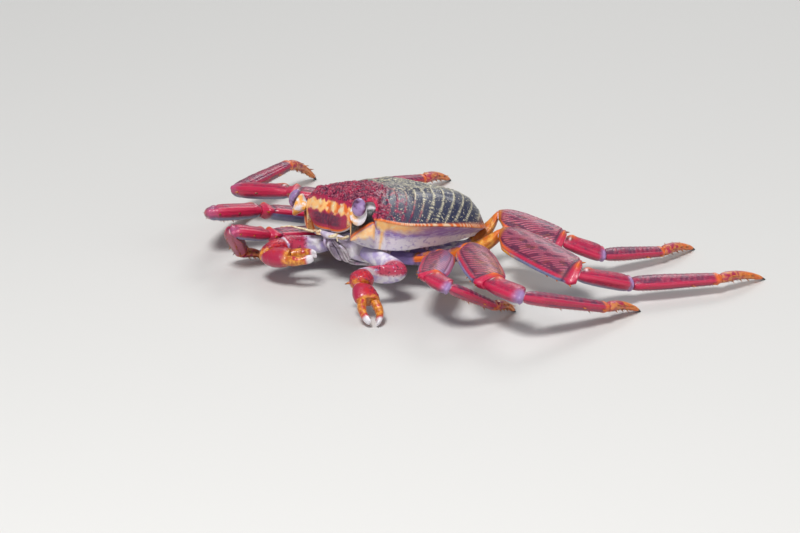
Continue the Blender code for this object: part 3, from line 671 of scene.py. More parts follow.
def buildShell():
    turns = shellTurns()
    dorsalSteps = np.linspace(0.012, 1.0, shell["dorsalRows"])
    wallSteps = np.linspace(0, 1, shell["wallRows"] + 1)[1:]
    columns = []
    for degrees in turns:
        top, wall = dorsalColumn(degrees, dorsalSteps), wallColumn(degrees, wallSteps)
        columns.append(np.concatenate([top, wall, underColumn(degrees, wall[-1])]))
    grid = np.stack(columns, axis=1)
    rows, count = grid.shape[:2]
    away = np.broadcast_to(np.abs(turns), (rows, count))
    # steps down the back (f) and down the wall (w)
    edgeRow = len(dorsalSteps) - 1
    wallEnd = edgeRow + 1 + len(wallSteps)
    f = np.full((rows, count), 2.0)
    f[: edgeRow + 1] = dorsalSteps[:, None]
    w = np.full((rows, count), -1.0)
    w[edgeRow] = 0.0
    w[edgeRow + 1 : wallEnd] = wallSteps[:, None]
    w[wallEnd:] = 2.0
    # the wall's columns are evened out where the eye socket ends
    even = bump(away[:1], 43, 4.0) * ramp(np.arange(rows), edgeRow, edgeRow + 4)[:, None]
    for _ in range(24):
        grid += (0.5 * even)[:, :, None] * ((np.roll(grid, 1, axis=1) + np.roll(grid, -1, axis=1)) / 2 - grid)
    x, y = grid[:, :, 0], grid[:, :, 1]
    ax, wv, turnPart = np.abs(x), np.clip(w, 0, 1), away / shell["plateTurn"]
    onTop = (f <= 1.0) * 1.0
    onWall = ((w >= 0) & (w <= 1)) * 1.0
    plate = onWall * (away <= shell["plateTurn"] + 0.5)
    sideWall = onWall - plate
    orbit = sideWall * (away <= 41.5)
    # dark back behind the groove, crimson in front of it
    border = -5.0 - 0.6 * ax + 2.0 * waves(x, y, 5, 12)
    front = fade(y, border - 4, border + 4) * onTop
    back = onTop * (1 - front)
    line, terrace = striaField(x, y)
    inner = 10 + 3 * waves(x, y, 9, 9)
    cut = ramp(waves(x * 1.3, y * 0.7, 12, 8), -1.2, -0.8)
    middle = ramp(waves(x * 1.6, y * 0.5, 21, 7), -0.2, 0.15) * ramp(y, 2, 9)
    where = np.maximum(ramp(ax, inner - 3, inner + 3), middle) * ramp(y, -18, -11)
    stria = line * cut * where * onTop * fade(f, 0.955, 0.975)
    redStria = stria * fade(y, -6, 0) * ramp(waves(x * 1.2, y * 2, 61, 3), -0.5, 0.1)
    stria = stria * ramp(y, -9, -1)
    # beaded rim, hood over the eye and lip of the socket
    arc = np.cumsum(np.linalg.norm(np.diff(grid[edgeRow], axis=0, append=grid[edgeRow, :1]), axis=1))
    beads = 0.5 + 0.5 * np.cos(arc * math.tau / 0.85 + 1.5 * waves(x, y, 53, 9))
    nearRim = bump(f, 0.994, 0.010) * onTop + bump(np.maximum(w, 0), 0, 0.04) * onWall
    rim = np.clip(nearRim, 0, 1) * (away > 41)
    orbitRim = orbit * bump(wv, 0.6, 0.035)
    hood = onTop * band(away, 20, 22, 40, 44) * ramp(f, 0.875, 0.905)
    hoodLip = onTop * band(away, 22, 26, 40, 44) * bump(f, 0.945, 0.04)
    rough = 0.22 * waves(x, y * 1.6, 31, 3.2) + 0.16 * waves(x, y * 1.5, 37, 1.8)
    rough = rough * onTop * front * (1 - hood)
    lift = shell["striaHeight"] * np.maximum(stria, redStria) + 0.12 * terrace * where * back
    lift = lift * fade(f, 0.93, 0.97) + rim * (0.15 + 0.16 * beads) + rough + 0.3 * orbitRim + 0.55 * hoodLip
    normal = gridNormals(grid)
    normal *= np.sign(normal[20, 10, 2]) or 1.0
    grid = grid + normal * lift[:, :, None]
    # colours of the front plate and the wall, with wavy borders
    wavy = 0.07 * waves(x * 1.5, y, 41, 7) + 0.04 * waves(x * 1.7, y, 43, 3)
    plateSides = plate * ramp(turnPart, 0.87, 0.95) * ramp(wv, 0.06, 0.2)
    plateMiddle = band(wv, 0.46, 0.56, 0.8, 0.9) * fade(turnPart, 0.45, 0.75)
    lobeEdge = 0.02 + 0.09 * np.abs(np.sin(x * 0.62)) + 0.05 * waves(x, y, 47, 2.2)
    hoodEdge = 0.05 + 0.45 * ramp(away, 35, 38)
    lowFrom = 0.58 * fade(away, 40, 42)
    seamLine = (away > 42) * bump(away + 3 * wv + 6 * wavy, 49, 2.6 - 1.2 * wv)
    goldTop = band(away, 41, 44, 66, 96) * fade(wv + 0.6 * wavy, 0.14, 0.46)
    goldLobe = orbit * ramp(wv, 0.62, 0.66) * fade(wv + 0.8 * wavy, 0.76, 0.90)
    masks = {
        "front": np.maximum(front, orbit * fade(wv, 0.10, 0.15)),
        "blush": back * fade(y, border + 3, border + 15),
        "mottle": back * fade(ax, 12, 22) * ramp(y, -10, -3),
        "speck": back,
        "stria": stria,
        "redStria": redStria,
        "wall": sideWall * ramp(wv, lowFrom + 0.02, lowFrom + 0.08),
        "wallLow": sideWall * ramp(wv, 0.45 + lowFrom * 0.5, 0.62 + lowFrom * 0.5),
        "seam": sideWall * np.clip(seamLine + goldTop + 0.9 * goldLobe, 0, 1),
        "plate": plate,
        "plateDark": plate * plateMiddle,
        "plateTop": np.maximum(plate * band(wv + wavy, 0.03, 0.10, 0.40, 0.48), plateSides),
        "lobes": np.clip((1 - bump(ax, 0, 0.5)) * fade(wv, lobeEdge, lobeEdge + 0.03) * plate, 0, 1),
        # socket: painted shade, near black down in the eye socket's hollow
        "socket": orbit * band(wv, 0.12, 0.17, 0.55, 0.58),
        "glint": orbit * band(away, 24, 26, 37, 39) * band(wv, 0.02, 0.04, 0.27, 0.31),
        "rim": np.clip(np.maximum(rim, plate * ramp(wv, 0.93, 0.97)) + orbitRim, 0, 1),
        "hood": np.clip(hood * (f < 1.01) + orbit * fade(wv, hoodEdge - 0.03, hoodEdge + 0.02), 0, 1),
        "bead": 0.75 * rim * ramp(beads + 0.5 * waves(x, y, 59, 2.4), 0.4, 0.8) * ramp(away, 46, 75),
        "under": (w > 1.5) * 1.0,
    }
    world = placed(grid)
    addPiece("shellBack", world, masks, "shell", "shell_dark", "carapace")
    rng = np.random.default_rng(8)
    bumpy = onTop * front * (0.35 + 0.65 * fade(y, -22, -14)) * (f < 0.985) * (f > 0.1)
    spots = []
    for at, out in scatterOn(world, bumpy, shell["granules"], rng):
        size = rng.uniform(0.2, 0.42) if rng.random() < 0.7 else rng.uniform(0.45, 0.8)
        spots.append((at, out, size * 0.6, size))
    onPlate = plate * ramp(wv, 0.42, 0.5) * (wv < 0.93)
    spots += granuleSpots(world, onPlate, shell["plateGranules"], rng, 0.12, 0.26, 0.7)
    setPieces("shellGranules", "bead", spots, "granule", "shell_dark")
    onBack = back * (f < 0.95) * (f > 0.1)
    spots = granuleSpots(world, onBack, shell["paleGranules"], rng, 0.08, 0.2)
    setPieces("paleGranules", "bead", spots, "paleGranule", "shell_dark")


buildShell()
print("shell built")


# lofted pieces of legs and claws; rows: step along, half width, half height (mm)
def segmentGrid(start, end, startDir, endDir, up, rows, shape, power, bow):
    along, around = shape
    start, end, bow = (np.asarray(v, float) for v in (start, end, bow))
    startDir, endDir = unit(startDir), unit(endDir)
    axis = unit(end - start)
    a = start + startDir * stance["jointGap"] / 2
    b = end - endDir * stance["jointGap"] / 2
    s = np.linspace(0, math.pi, along)
    steps = 0.5 - 0.5 * np.cos(s) * (0.6 + 0.4 * np.abs(np.cos(s)))
    angle = anglesAround(around)
    c, sn = signedPower(np.cos(angle), 2 / power), signedPower(np.sin(angle), 2 / power)
    across = np.cross(up, axis)
    # share of the length over which the rings turn to each end, and room they keep from its plane
    turnShare, endRoom = 0.2, 2.2
    grid = []
    for t, width, height in zip(steps, profile(rows, 1, steps), profile(rows, 2, steps)):
        normal = axis + (startDir - axis) * max(0.0, 1 - t / turnShare)
        normal = unit(normal + (endDir - axis) * max(0.0, 1 - (1 - t) / turnShare))
        side = unit(across - normal * (across @ normal))
        rise = unit(np.cross(normal, side))
        centre = a + (b - a) * t + bow * 4 * t * (1 - t)
        ring = centre + np.outer(c * width, side) + np.outer(sn * height, rise)
        ring += np.outer(np.maximum(0, endRoom * t - (ring - a) @ startDir), startDir)
        ring -= np.outer(np.maximum(0, endRoom * (1 - t) - (b - ring) @ endDir), endDir)
        grid.append(ring)
    return np.array(grid), steps, angle


# point of a grid at a step along and a place around (0 to 1), and its outward direction
def onGrid(grid, steps, t, place):
    k = int(np.clip(np.searchsorted(steps, t), 1, len(steps) - 1))
    mix = (t - steps[k - 1]) / (steps[k] - steps[k - 1])
    ring = grid[k - 1] * (1 - mix) + grid[k] * mix
    i, part = divmod(place * len(ring) - 0.5, 1)
    i = int(i) % len(ring)
    point = ring[i] * (1 - part) + ring[(i + 1) % len(ring)] * part
    return point, unit(point - ring.mean(axis=0))


legs = {
    # look and slot of each piece
    "looks": {
        "base": ("base", "leg_base_amber"),
        "merus": ("upper", "leg_crimson"),
        "carpus": ("knee", "leg_scarlet"),
        "propodus": ("shank", "leg_crimson"),
        "dactyl": ("toe", "toe_orange"),
    },
    "sockets": {
        2: (15.6, -6.0, -14.0), 3: (15.6, 3.2, -13.4), 4: (15.2, 12.4, -12.0), 5: (13.0, 20.8, -10.0),
    },
    "hips": {
        2: (32.5, 4.5, -11.2), 3: (36.0, 14.5, -8.2), 4: (32.0, 32.0, -3.4), 5: (18.5, 39.5, 1.8),
    },
    "sag": {2: 1.8, 3: 3.0, 4: 4.0, 5: 5.2},
    "baseHalf": 3.1,
    # points along and around, and roundness of the section
    "merusGrid": ((150, 120), 1.8),
    "otherGrid": ((70, 64), 2.0),
    # knees and toe on the floor (mm), and lean of the flat faces (degrees)
    "spots": {
        ("left", 2): (((57.4, -24.5, 19.5), (69.2, -24, 18.9), (68.2, -2.4, 6.7), (63, 11, 0)), -5),
        ("left", 3): (((74.3, -8.6, 18.9), (93, -6.9, 18.7), (93, 32.5, 6), (91, 50, 0)), 0),
        ("left", 4): (((79, 30, 15.5), (81, 53.5, 7.5), (92.5, 88, 5.6), (91, 111, 0)), 18),
        ("left", 5): (((45, 48.6, 15.4), (52, 62.5, 9), (52, 91.4, 4.2), (48, 110, 0)), 18),
        ("right", 2): (((-32.4, -38.4, 13.9), (-34.2, -53.2, 18), (-42.4, -43, 4.4), (-38, -32, 0)), -10),
        ("right", 3): (((-50, -29.5, 17), (-54.5, -49.2, 18.9), (-79.6, -19, 4.6), (-88, -4, 0)), -18),
        ("right", 4): (((-62.5, -6, 16.3), (-85.3, -14.8, 12.5), (-98.6, 19.2, 12.3), (-107, 38, 0)), -15),
        ("right", 5): (((-47.7, 33.3, 14), (-64, 35, 10.3), (-68, 63.5, 5.9), (-74, 81, 0)), -10),
    },
    "striaSpacing": {"merus": 1.95, "propodus": 2.2},
    "merusHalf": {2: 6.2, 3: 7.6, 4: 7.8, 5: 6.4},
    "slender": {2: 0.88, 3: 1.0, 4: 1.0, 5: 0.88},
    "rows": {
        "base": (
            (0, 0.84, 0.78), (0.12, 1.0, 0.92), (0.36, 0.94, 0.9), (0.42, 0.84, 0.8), (0.5, 0.98, 0.92),
            (0.8, 1.0, 0.9), (0.94, 0.92, 0.82), (1, 0.7, 0.62),
        ),
        "merus": (
            (0, 0.42, 0.28), (0.05, 0.6, 0.35), (0.16, 0.88, 0.39), (0.36, 1.0, 0.42), (0.6, 1.0, 0.42),
            (0.82, 0.94, 0.40), (0.94, 0.82, 0.38), (1, 0.56, 0.31),
        ),
        "carpus": (
            (0, 3.3, 2.3), (0.1, 4.0, 2.8), (0.38, 4.8, 3.2),
            (0.72, 5.0, 3.3), (0.92, 4.4, 3.0), (1, 3.0, 2.2),
        ),
        "propodus": (
            (0, 2.9, 2.1), (0.07, 3.7, 2.6), (0.3, 4.2, 2.7),
            (0.62, 3.7, 2.4), (0.93, 3.1, 2.1), (1, 2.1, 1.7),
        ),
        "dactyl": (
            (0, 2.1, 1.7), (0.1, 2.5, 2.0), (0.35, 2.2, 1.75),
            (0.62, 1.7, 1.35), (0.85, 1.15, 1.0), (1, 0.55, 0.55),
        ),
    },
    # places around, steps along, radius, length, slant
    "spines": {
        "merus": (((0.98, 0.52), (0.955,), 0.8, 1.7, 1.7), ((0.52,), (0.86, 0.77), 0.6, 1.2, 1.4)),
        "carpus": (((0.97,), (0.5, 0.85), 0.6, 1.1, 0.9),),
        "propodus": (((0.96, 0.54), (0.66, 0.9), 0.42, 1.7, 1.2), ((0.75,), (0.45, 0.8), 0.42, 1.5, 1.3)),
        "dactyl": (
            ((0.06, 0.44), (0.2, 0.42, 0.64), 0.46, 1.8, 0.8),
            ((0.7, 0.86), (0.26, 0.44, 0.6), 0.44, 1.4, 1.1),
        ),
    },
    "fineSpines": {"propodus": 34, "dactyl": 42},
}


def jointDirs(points):
    steps = [unit(b - a) for a, b in zip(points, points[1:])]
    return [steps[0]] + [unit(p + q) for p, q in zip(steps, steps[1:])] + [steps[-1]]


def leaningUp(points, lean, side):
    along = unit((points[2] - points[1]) * (1, 1, 0))
    forward = np.cross(along, (0, 0, 1)) * (1 if side == "left" else -1)
    angle = math.radians(lean)
    return unit(np.array([0, 0, 1]) * math.cos(angle) + forward * math.sin(angle))


# masks and outward relief (mm) of a leg piece, from place along it and around it
def legMasks(number, piece, steps, angle, length, half, frontSign, seed):
    t, c, s = steps[:, None], np.cos(angle) * frontSign, np.sin(angle)
    ac = np.abs(c)
    near = frontSign < 0
    mmAlong, mmAcross = t * length, c * half
    spacing = legs["striaSpacing"].get(piece, 3.0)
    slant = 1.4 if piece == "merus" else 0.5
    if number < 4:
        slant, spacing = slant * 0.6, spacing * 1.15
    phase = (mmAlong + slant * mmAcross + 0.35 * waves(mmAlong, mmAcross, seed, 9)) / spacing
    line = bump((phase - np.round(phase)) * spacing, 0, 0.42) * (piece != "carpus")
    broken = ramp(waves(mmAlong * 0.6, mmAcross * 1.8, seed + 1, 6), -0.5, -0.1)
    face = ramp(s, 0.12, 0.4) * band(t, 0.04, 0.1, 0.86, 0.93)
    valley = bump((phase - np.floor(phase) - 0.5) * spacing, 0, 0.5) * face * fade(ac, 0.62, 0.78)
    below = {"merus": 0.36 if near else -0.25, "carpus": -0.1 if near else -0.4}.get(piece, -0.35)
    edge = ramp(c, 0.80, 0.86) * ramp(s, below, below + 0.12) + 0.8 * bump(c, -0.97, 0.07) * ramp(s, 0, 0.2)
    under = ramp(-s, 0.3 + 0.2 * (not near), 0.8)
    knob = bump(t, 0.955, 0.026) * bump(c, -0.3, 0.38) * ramp(s, 0.2, 0.5)
    if piece == "merus":
        under = fade(s, below - 0.06, below + 0.06)
    if piece == "carpus":
        knob = bump(t, 0.13, 0.11) * bump(c, -0.35, 0.42) * ramp(s, 0.1, 0.4)
    body = ramp(s, 0.1, 0.3) * band(t, 0.08, 0.16, 0.84, 0.9)
    rearEnd = np.clip(ramp(c, -0.2, 0.5) + ramp(-s, -0.4, 0.2), 0, 1)
    slot = bump(t, 0.03, 0.035) * bump(c, 0.1, 0.5) + bump(t, 0.12, 0.02) * bump(c, 0.1, 0.3)
    clear = np.clip(edge, 0, 1)
    patch = ramp(s, 0.1, 0.4) * (piece == "merus")
    masks = {
        "stria": line * broken * face * (1 - 0.7 * clear),
        "valley": valley,
        "edge": clear,
        "under": under,
        "hip": under * fade(t + 0.06 * waves(mmAlong, mmAcross, seed + 2, 5), 0.26, 0.4),
        # painted shade in the notch at the knee joint
        "notchShade": slot * ramp(s, 0.2, 0.5),
        # white sliver at the knee: pale joint skin with a painted highlight
        "paleSkinHighlight": bump(t, 0.085, 0.018) * bump(c, 0.2, 0.22) * ramp(s, 0.3, 0.6),
        "lobe": (1.0 if near else 0.3) * ramp(t, 0.8, 0.94) * rearEnd,
        "root": fade(t, 0.4, 0.5) if piece == "base" else fade(t, 0.02, 0.08),
        "streak": edge * band(t, 0.0, 0.05, 0.16, 0.4),
        "ring": np.clip(bump(t, 0.9, 0.013) * ramp(s, -0.2, 0.2) + bump(ac, 0.76, 0.035) * body, 0, 1),
        "knee": ramp(t, 0.905, 0.94),
        "spot": knob,
        "blotch": patch * (number == 3) * ramp(t, 0.3, 0.6) * ramp(-c, -0.7, 0.2),
        "rear": patch * (number == 2) * ramp(-c, 0.0, 0.35),
        "top": ramp(s, 0.0, 0.5),
        "shaft": fade(t, 0.3, 0.62),
    }
    jointed = piece in ("merus", "carpus")
    relief = 0.16 * masks["stria"] + 0.45 * bump(c, 0.93, 0.1) * (s > 0) * ramp(t, 0.08, 0.2)
    relief += (0.7 * knob - 0.35 * bump(t, 0.9, 0.02)) * jointed
    relief -= 0.22 * bump(ac, 0.76, 0.05) * body * (piece != "base")
    relief += 0.25 * bump(t, 0.955, 0.02) * (jointed or piece == "propodus")
    return masks, relief * band(t, 0.0, 0.05, 0.97, 1.0)


# soft skin between two pieces, seen only in the gap
def addSkin(name, at, direction, up, wide, high):
    side = unit(np.cross(up, direction))
    rise = unit(np.cross(direction, side))
    angle = math.tau * np.arange(20) / 20
    rings = []
    for k in np.linspace(-1, 1, 9):
        size = math.sqrt(max(0.02, 1 - k * k))
        middle = at + direction * stance["skinDepth"] * k
        rings.append(ovalRing(middle, angle, side, wide * size, rise, high * size))
    addPiece(name, np.array(rings), {}, "skin", "stalk_cream")


spineSpots = {"spine": [], "bristle": []}


def addSpines(grid, steps, axis, rows):
    for places, along, radius, length, slant in rows:
        for place in places:
            for t in along:
                point, out = onGrid(grid, steps, t, place)
                aim = unit(out + axis * slant)
                spineSpots["spine"].append((point - aim * radius, aim, length + radius, radius * 0.85))


def addBristles(grid, steps, axis, count, rng):
    for place in (0.02, 0.48, 0.62, 0.75, 0.88):
        for t in np.linspace(0.1, 0.9, count):
            t = float(np.clip(t + rng.uniform(-0.008, 0.008), 0.03, 0.96))
            point, out = onGrid(grid, steps, t, place + rng.uniform(-0.02, 0.02))
            if point[2] < 1.6:
                continue
            aim = unit(out + axis * rng.uniform(0.5, 1.1))
            spineSpots["bristle"].append((point - aim * 0.1, aim, rng.uniform(0.5, 1.05), 0.075))


def buildLeg(side, number):
    spots, lean = legs["spots"][side, number]
    points = [placed(sided(legs[key][number], side)) for key in ("sockets", "hips")]
    points += [np.array(p, float) for p in spots]
    dirs = jointDirs(points)
    dirs[0] = unit(turned(sided((1, 0, -0.04), side)))
    dirs[-1] = np.array([0.0, 0.0, -1.0])
    up = leaningUp(points, lean, side)
    slender = legs["slender"][number]
    half = {"base": legs["baseHalf"] * slender, "merus": legs["merusHalf"][number], "dactyl": 1.0}
    frontSign = -1 if side == "left" else 1
    rng = np.random.default_rng(number * 10 + (side == "left"))
    for k, (piece, (look, slotName)) in enumerate(legs["looks"].items()):
        scale = half.get(piece, slender)
        rows = [(t, a * scale, b * scale) for t, a, b in legs["rows"][piece]]
        start, end = points[k], points[k + 1]
        bow, pieceUp = (0, 0, 0), up
        if piece == "base":
            bow = turned((0, 0, -legs["sag"][number]))
            pieceUp = unit(up + turned((0, 0, 1)))
            look = "nearBase" if number < 4 else look
        if piece == "dactyl":
            bow = (0, 0, 1.6)
            end = end - np.array((0, 0, stance["jointGap"] / 2))
        shape, power = legs["merusGrid"] if piece == "merus" else legs["otherGrid"]
        grid, steps, angle = segmentGrid(start, end, dirs[k], dirs[k + 1], pieceUp, rows, shape, power, bow)
        length, widest = float(np.linalg.norm(end - start)), max(row[1] for row in rows)
        masks, relief = legMasks(number, piece, steps, angle, length, widest, frontSign, number * 7 + k)
        shaped = grid if piece == "dactyl" else grid + outwards(grid) * relief[:, :, None]
        name = f"leg{number}{piece.capitalize()}{side.capitalize()}"
        addPiece(name, *roundEnds(shaped, masks), look, slotName, f"leg{number}_{piece}_{side}")
        axis = unit(end - start)
        addSpines(grid, steps, axis, legs["spines"].get(piece, ()))
        if piece in legs["fineSpines"]:
            addBristles(grid, steps, axis, legs["fineSpines"][piece], rng)
        if k:
            wide, high = rows[0][1] * 0.82, rows[0][2] * 0.82
            addSkin(f"leg{number}Skin{k}{side.capitalize()}", points[k], dirs[k], pieceUp, wide, high)


for side in ("left", "right"):
    for number in (2, 3, 4, 5):
        buildLeg(side, number)
print("legs built")


claws = {
    "socket": (13.4, -17.2, -13.6),
    # ends of arm and wrist, hinge and tip of the fingers
    "spots": {
        "left": ((27, -34.5, 14.5), (31, -39, 11.5), (38, -40, 7.5), (45, -45, 1.6)),
        "right": ((-21, -38, 13), (-18, -48, 11), (-9, -43.5, 12.5), (-2.5, -36, 14)),
    },
    "armBow": {"left": (10, 7, -1.5), "right": (4.0, 0.0, -1.0)},
    # points along and around, granules, slot
    "parts": {
        "arm": ((80, 56), 160, "claw_white"),
        "wrist": ((70, 56), 130, "leg_scarlet"),
        "palm": ((80, 56), 150, "leg_scarlet"),
    },
    "innerPlace": {"left": 0.52, "right": 0.98},
    # steps along, radius, length, slant
    "spines": {"arm": (((0.62, 0.74, 0.86), 0.8, 1.3, 0.5),), "wrist": (((0.72,), 1.0, 1.9, 0.4),)},
    "arm": (
        (0, 3.0, 2.8), (0.1, 3.6, 3.3), (0.4, 4.5, 3.8),
        (0.75, 5.0, 4.0), (0.93, 4.3, 3.5), (1, 3.0, 2.6),
    ),
    "wrist": (
        (0, 2.8, 2.5), (0.14, 3.8, 3.4), (0.42, 4.7, 4.2),
        (0.76, 4.6, 4.1), (0.93, 3.6, 3.2), (1, 2.6, 2.3),
    ),
    "palm": (
        (0, 2.5, 2.4), (0.12, 3.1, 3.6), (0.36, 3.7, 4.6),
        (0.7, 3.6, 5.0), (0.92, 3.1, 4.8), (1, 2.7, 4.4),
    ),
    "finger": (
        (0, 2.1, 1.9), (0.25, 2.0, 1.7), (0.55, 1.7, 1.4),
        (0.8, 1.8, 1.25), (0.94, 1.6, 1.0), (1, 1.1, 0.6),
    ),
}


def clawMasks(steps, angle):
    t, s = steps[:, None], np.sin(angle)
    return {
        "under": ramp(-s, 0.2, 0.8),
        "root": fade(t, 0.03, 0.2),
        "knee": ramp(t, 0.8, 0.97),
        "patch": ramp(s, -0.4, 0.1) * band(t, 0.35, 0.5, 0.94, 1.0),
    }


def fingerGrid(hinge, tip, along, rise, sign, gap):
    reach = np.linalg.norm(tip - hinge)
    steps = np.linspace(0, 1, 60)
    angle = anglesAround(36)
    side = unit(np.cross(rise, along))
    grid = []
    wides, highs = (profile(claws["finger"], k, steps) for k in (1, 2))
    for t, wide, high in zip(steps, wides, highs):
        bend = 1.1 * t * t - 1.2 * math.sin(math.pi * t)
        centre = hinge + rise * sign * 2.6 + along * (reach * t + gap) - rise * sign * bend
        grid.append(ovalRing(centre, angle, side, wide, rise, high))
    t = steps[:, None]
    inner = np.clip(-sign * np.sin(angle), 0, 1) ** 2
    teeth = 0.3 * inner * np.abs(np.sin(t * 19)) * (t > 0.12) * (t < 0.78)
    spoon = -0.7 * inner * ramp(t, 0.76, 0.88)
    grid = np.array(grid)
    masks = {"tip": ramp(t, 0.72, 0.86), "knee": fade(t, 0.6, 0.8)}
    return grid + outwards(grid) * (teeth + spoon)[:, :, None], masks


def buildClaw(side):
    armEnd, wristEnd, hinge, tip = (np.array(p, float) for p in claws["spots"][side])
    socket = placed(sided(claws["socket"], side))
    dirs = jointDirs([socket, armEnd, wristEnd, hinge, tip])
    dirs[0] = unit(turned(sided((0.8, -0.6, 0.0), side)))
    up = np.array([0, 0, 1.0])
    along = unit(tip - wristEnd)
    rise = unit(np.cross(unit(np.cross(along, armEnd - wristEnd)), along))
    cap = side.capitalize()
    inner = claws["innerPlace"][side]
    rng = np.random.default_rng(61 + (side == "left"))
    beads = []
    courses = {
        "arm": (socket, armEnd, dirs[0], dirs[1], up),
        "wrist": (armEnd, wristEnd, dirs[1], dirs[2], up),
        "palm": (wristEnd, hinge, dirs[2], along, rise),
    }
    # arm, wrist and palm with the granules of their upper sides
    for part, (shape, count, slotName) in claws["parts"].items():
        start, end = courses[part][:2]
        bow = turned(sided(claws["armBow"][side], side)) if part == "arm" else (0, 0, 0)
        grid, steps, angle = segmentGrid(*courses[part], claws[part], shape, 2.0, bow)
        masks = clawMasks(steps, angle)
        name, look = f"claw{part.capitalize()}{cap}", "arm" if part == "arm" else "claw"
        addPiece(name, *roundEnds(grid, masks), look, slotName, f"claw_{part}_{side}")
        bumpy = masks["patch"]
        if part != "arm":
            low = 0.0 if part == "wrist" else 0.1
            bumpy = ramp(np.sin(angle), low, low + 0.5) * (ramp(steps, 0.1, 0.2) * (steps < 0.9))[:, None]
        beads += granuleSpots(grid, bumpy, count, rng, 0.14, 0.34)
        for places, size, length, slant in claws["spines"].get(part, ()):
            addSpines(grid, steps, unit(end - start), (((inner,), places, size, length, slant),))
    # the fixed finger starts inside the palm, the moving one stands clear of it
    fixed, masks = fingerGrid(hinge, tip, along, rise, -1, -0.2)
    masks = {key: np.concatenate([values[:1], values]) for key, values in masks.items()}
    fixed = np.concatenate([[fixed[0] - along * 2.0], fixed])
    addPiece(f"clawThumb{cap}", fixed, masks, "claw", "leg_scarlet")
    moving, masks = fingerGrid(hinge, tip, along, rise, 1, stance["jointGap"])
    addPiece(f"clawFinger{cap}", moving, masks, "claw", "toe_orange", f"claw_finger_{side}")
    addSkin(f"clawSkin0{cap}", armEnd, dirs[1], up, 2.5, 2.2)
    addSkin(f"clawSkin1{cap}", wristEnd, dirs[2], up, 2.5, 2.2)
    return beads


clawBeads = buildClaw("left") + buildClaw("right")
setPieces("clawGranules", "bead", clawBeads, "granule", "leg_scarlet")
print("claws built")


# eyes: root of each stalk, middle of the cover's flat back, the way it looks and its depth
eyes = {
    "root": {"left": (16.4, -26.5, 1.6), "right": (16.4, -26.9, 0.4)},
    "back": {"left": (21.1, -28.3, 5.2), "right": (20.8, -29.0, 3.0)},
    "drop": (0.2, 0.1, -2.2),
    "stalk": ((0, 1.5, 1.5), (0.3, 2.1, 2.4), (0.6, 2.8, 3.7), (0.85, 3.3, 4.7), (1, 3.0, 4.4)),
    "look": (0.80, -0.54, 0.27),
    "depth": 3.2,
    "half": (2.8, 3.6),
}


def ovalGrid(centres, normal, widths, heights, around):
    angle = anglesAround(around)
    side = unit(np.cross((0, 0, 1), normal))
    rise = unit(np.cross(normal, side))
    rings = [ovalRing(centre, angle, side, a, rise, b) for centre, a, b in zip(centres, widths, heights)]
    return np.array(rings), angle


def buildEye(side):
    cap = side.capitalize()
    root, back = (sided(eyes[key][side], side) for key in ("root", "back"))
    look = unit(sided(eyes["look"], side))
    lowBack = back - look * stance["jointGap"] + sided(eyes["drop"], side)
    t = np.linspace(0, 1, 44)
    wide, high = (profile(eyes["stalk"], k, t) for k in (1, 2))
    grid, angle = ovalGrid(root + (lowBack - root) * t[:, None], look, wide, high, 48)
    gold = ramp(np.cos(angle) * (-1 if side == "left" else 1), -0.2, 0.6)
    addBodyPiece(f"eyeStalk{cap}", grid, {"root": gold}, "stalk", "stalk_cream", f"eyestalk_{side}")
    t = 0.5 - 0.5 * np.cos(np.linspace(0, math.pi, 40))
    size = smoothCurve((0, 0.15, 0.4, 0.65, 0.86, 1), (0.92, 1.0, 0.95, 0.78, 0.5, 0.1), t)
    halfWide, halfHigh = eyes["half"]
    centres = back + look * (eyes["depth"] * t)[:, None]
    grid, angle = ovalGrid(centres, look, halfWide * size, halfHigh * size, 56)
    addBodyPiece(f"eyeCover{cap}", grid, {}, "eye", "eye_purple", f"eye_{side}")


def tubeGrid(path, radii, along, around, ripple=0):
    knots = range(len(path))
    t = np.linspace(0, knots[-1], along)
    line = np.stack([smoothCurve(knots, coordinates, t) for coordinates in zip(*path)], 1)
    radius = smoothCurve(knots, radii, t) * (1 + ripple * np.sin(t * 22))
    angle = math.tau * np.arange(around) / around
    rings = []
    for point, step, r in zip(line, np.gradient(line, axis=0), radius):
        forward = unit(step)
        across = unit(np.cross((0, 0, 1), forward))
        rings.append(ovalRing(point, angle, across, r, np.cross(forward, across), r))
    return np.array(rings)


# the long feeler beside each eye, and the short one folded under the front
feelers = {
    "long": (
        (9.8, -24.4, -7.6), (10.6, -27.6, -8.3), (12.8, -31.0, -7.6),
        (16.2, -34.0, -7.2), (19.8, -36.2, -8.0),
    ),
    "longRadii": (0.65, 0.55, 0.4, 0.3, 0.22),
    "short": ((5.2, -25.6, -7.2), (5.6, -28.0, -7.9), (4.2, -29.2, -8.4), (2.6, -28.8, -8.6)),
    "shortRadii": (0.8, 0.7, 0.5, 0.25),
}


def buildFeeler(side):
    for part, nodes in (("long", (f"antenna_{side}",)), ("short", ())):
        grid = sided(tubeGrid(feelers[part], feelers[f"{part}Radii"], 50, 16, 0.08), side)
        addBodyPiece(f"{part}Feeler{side.capitalize()}", grid, {}, "feeler", "feeler_orange", *nodes)


for side in ("left", "right"):
    buildEye(side)
    buildFeeler(side)
print("eyes and feelers built")


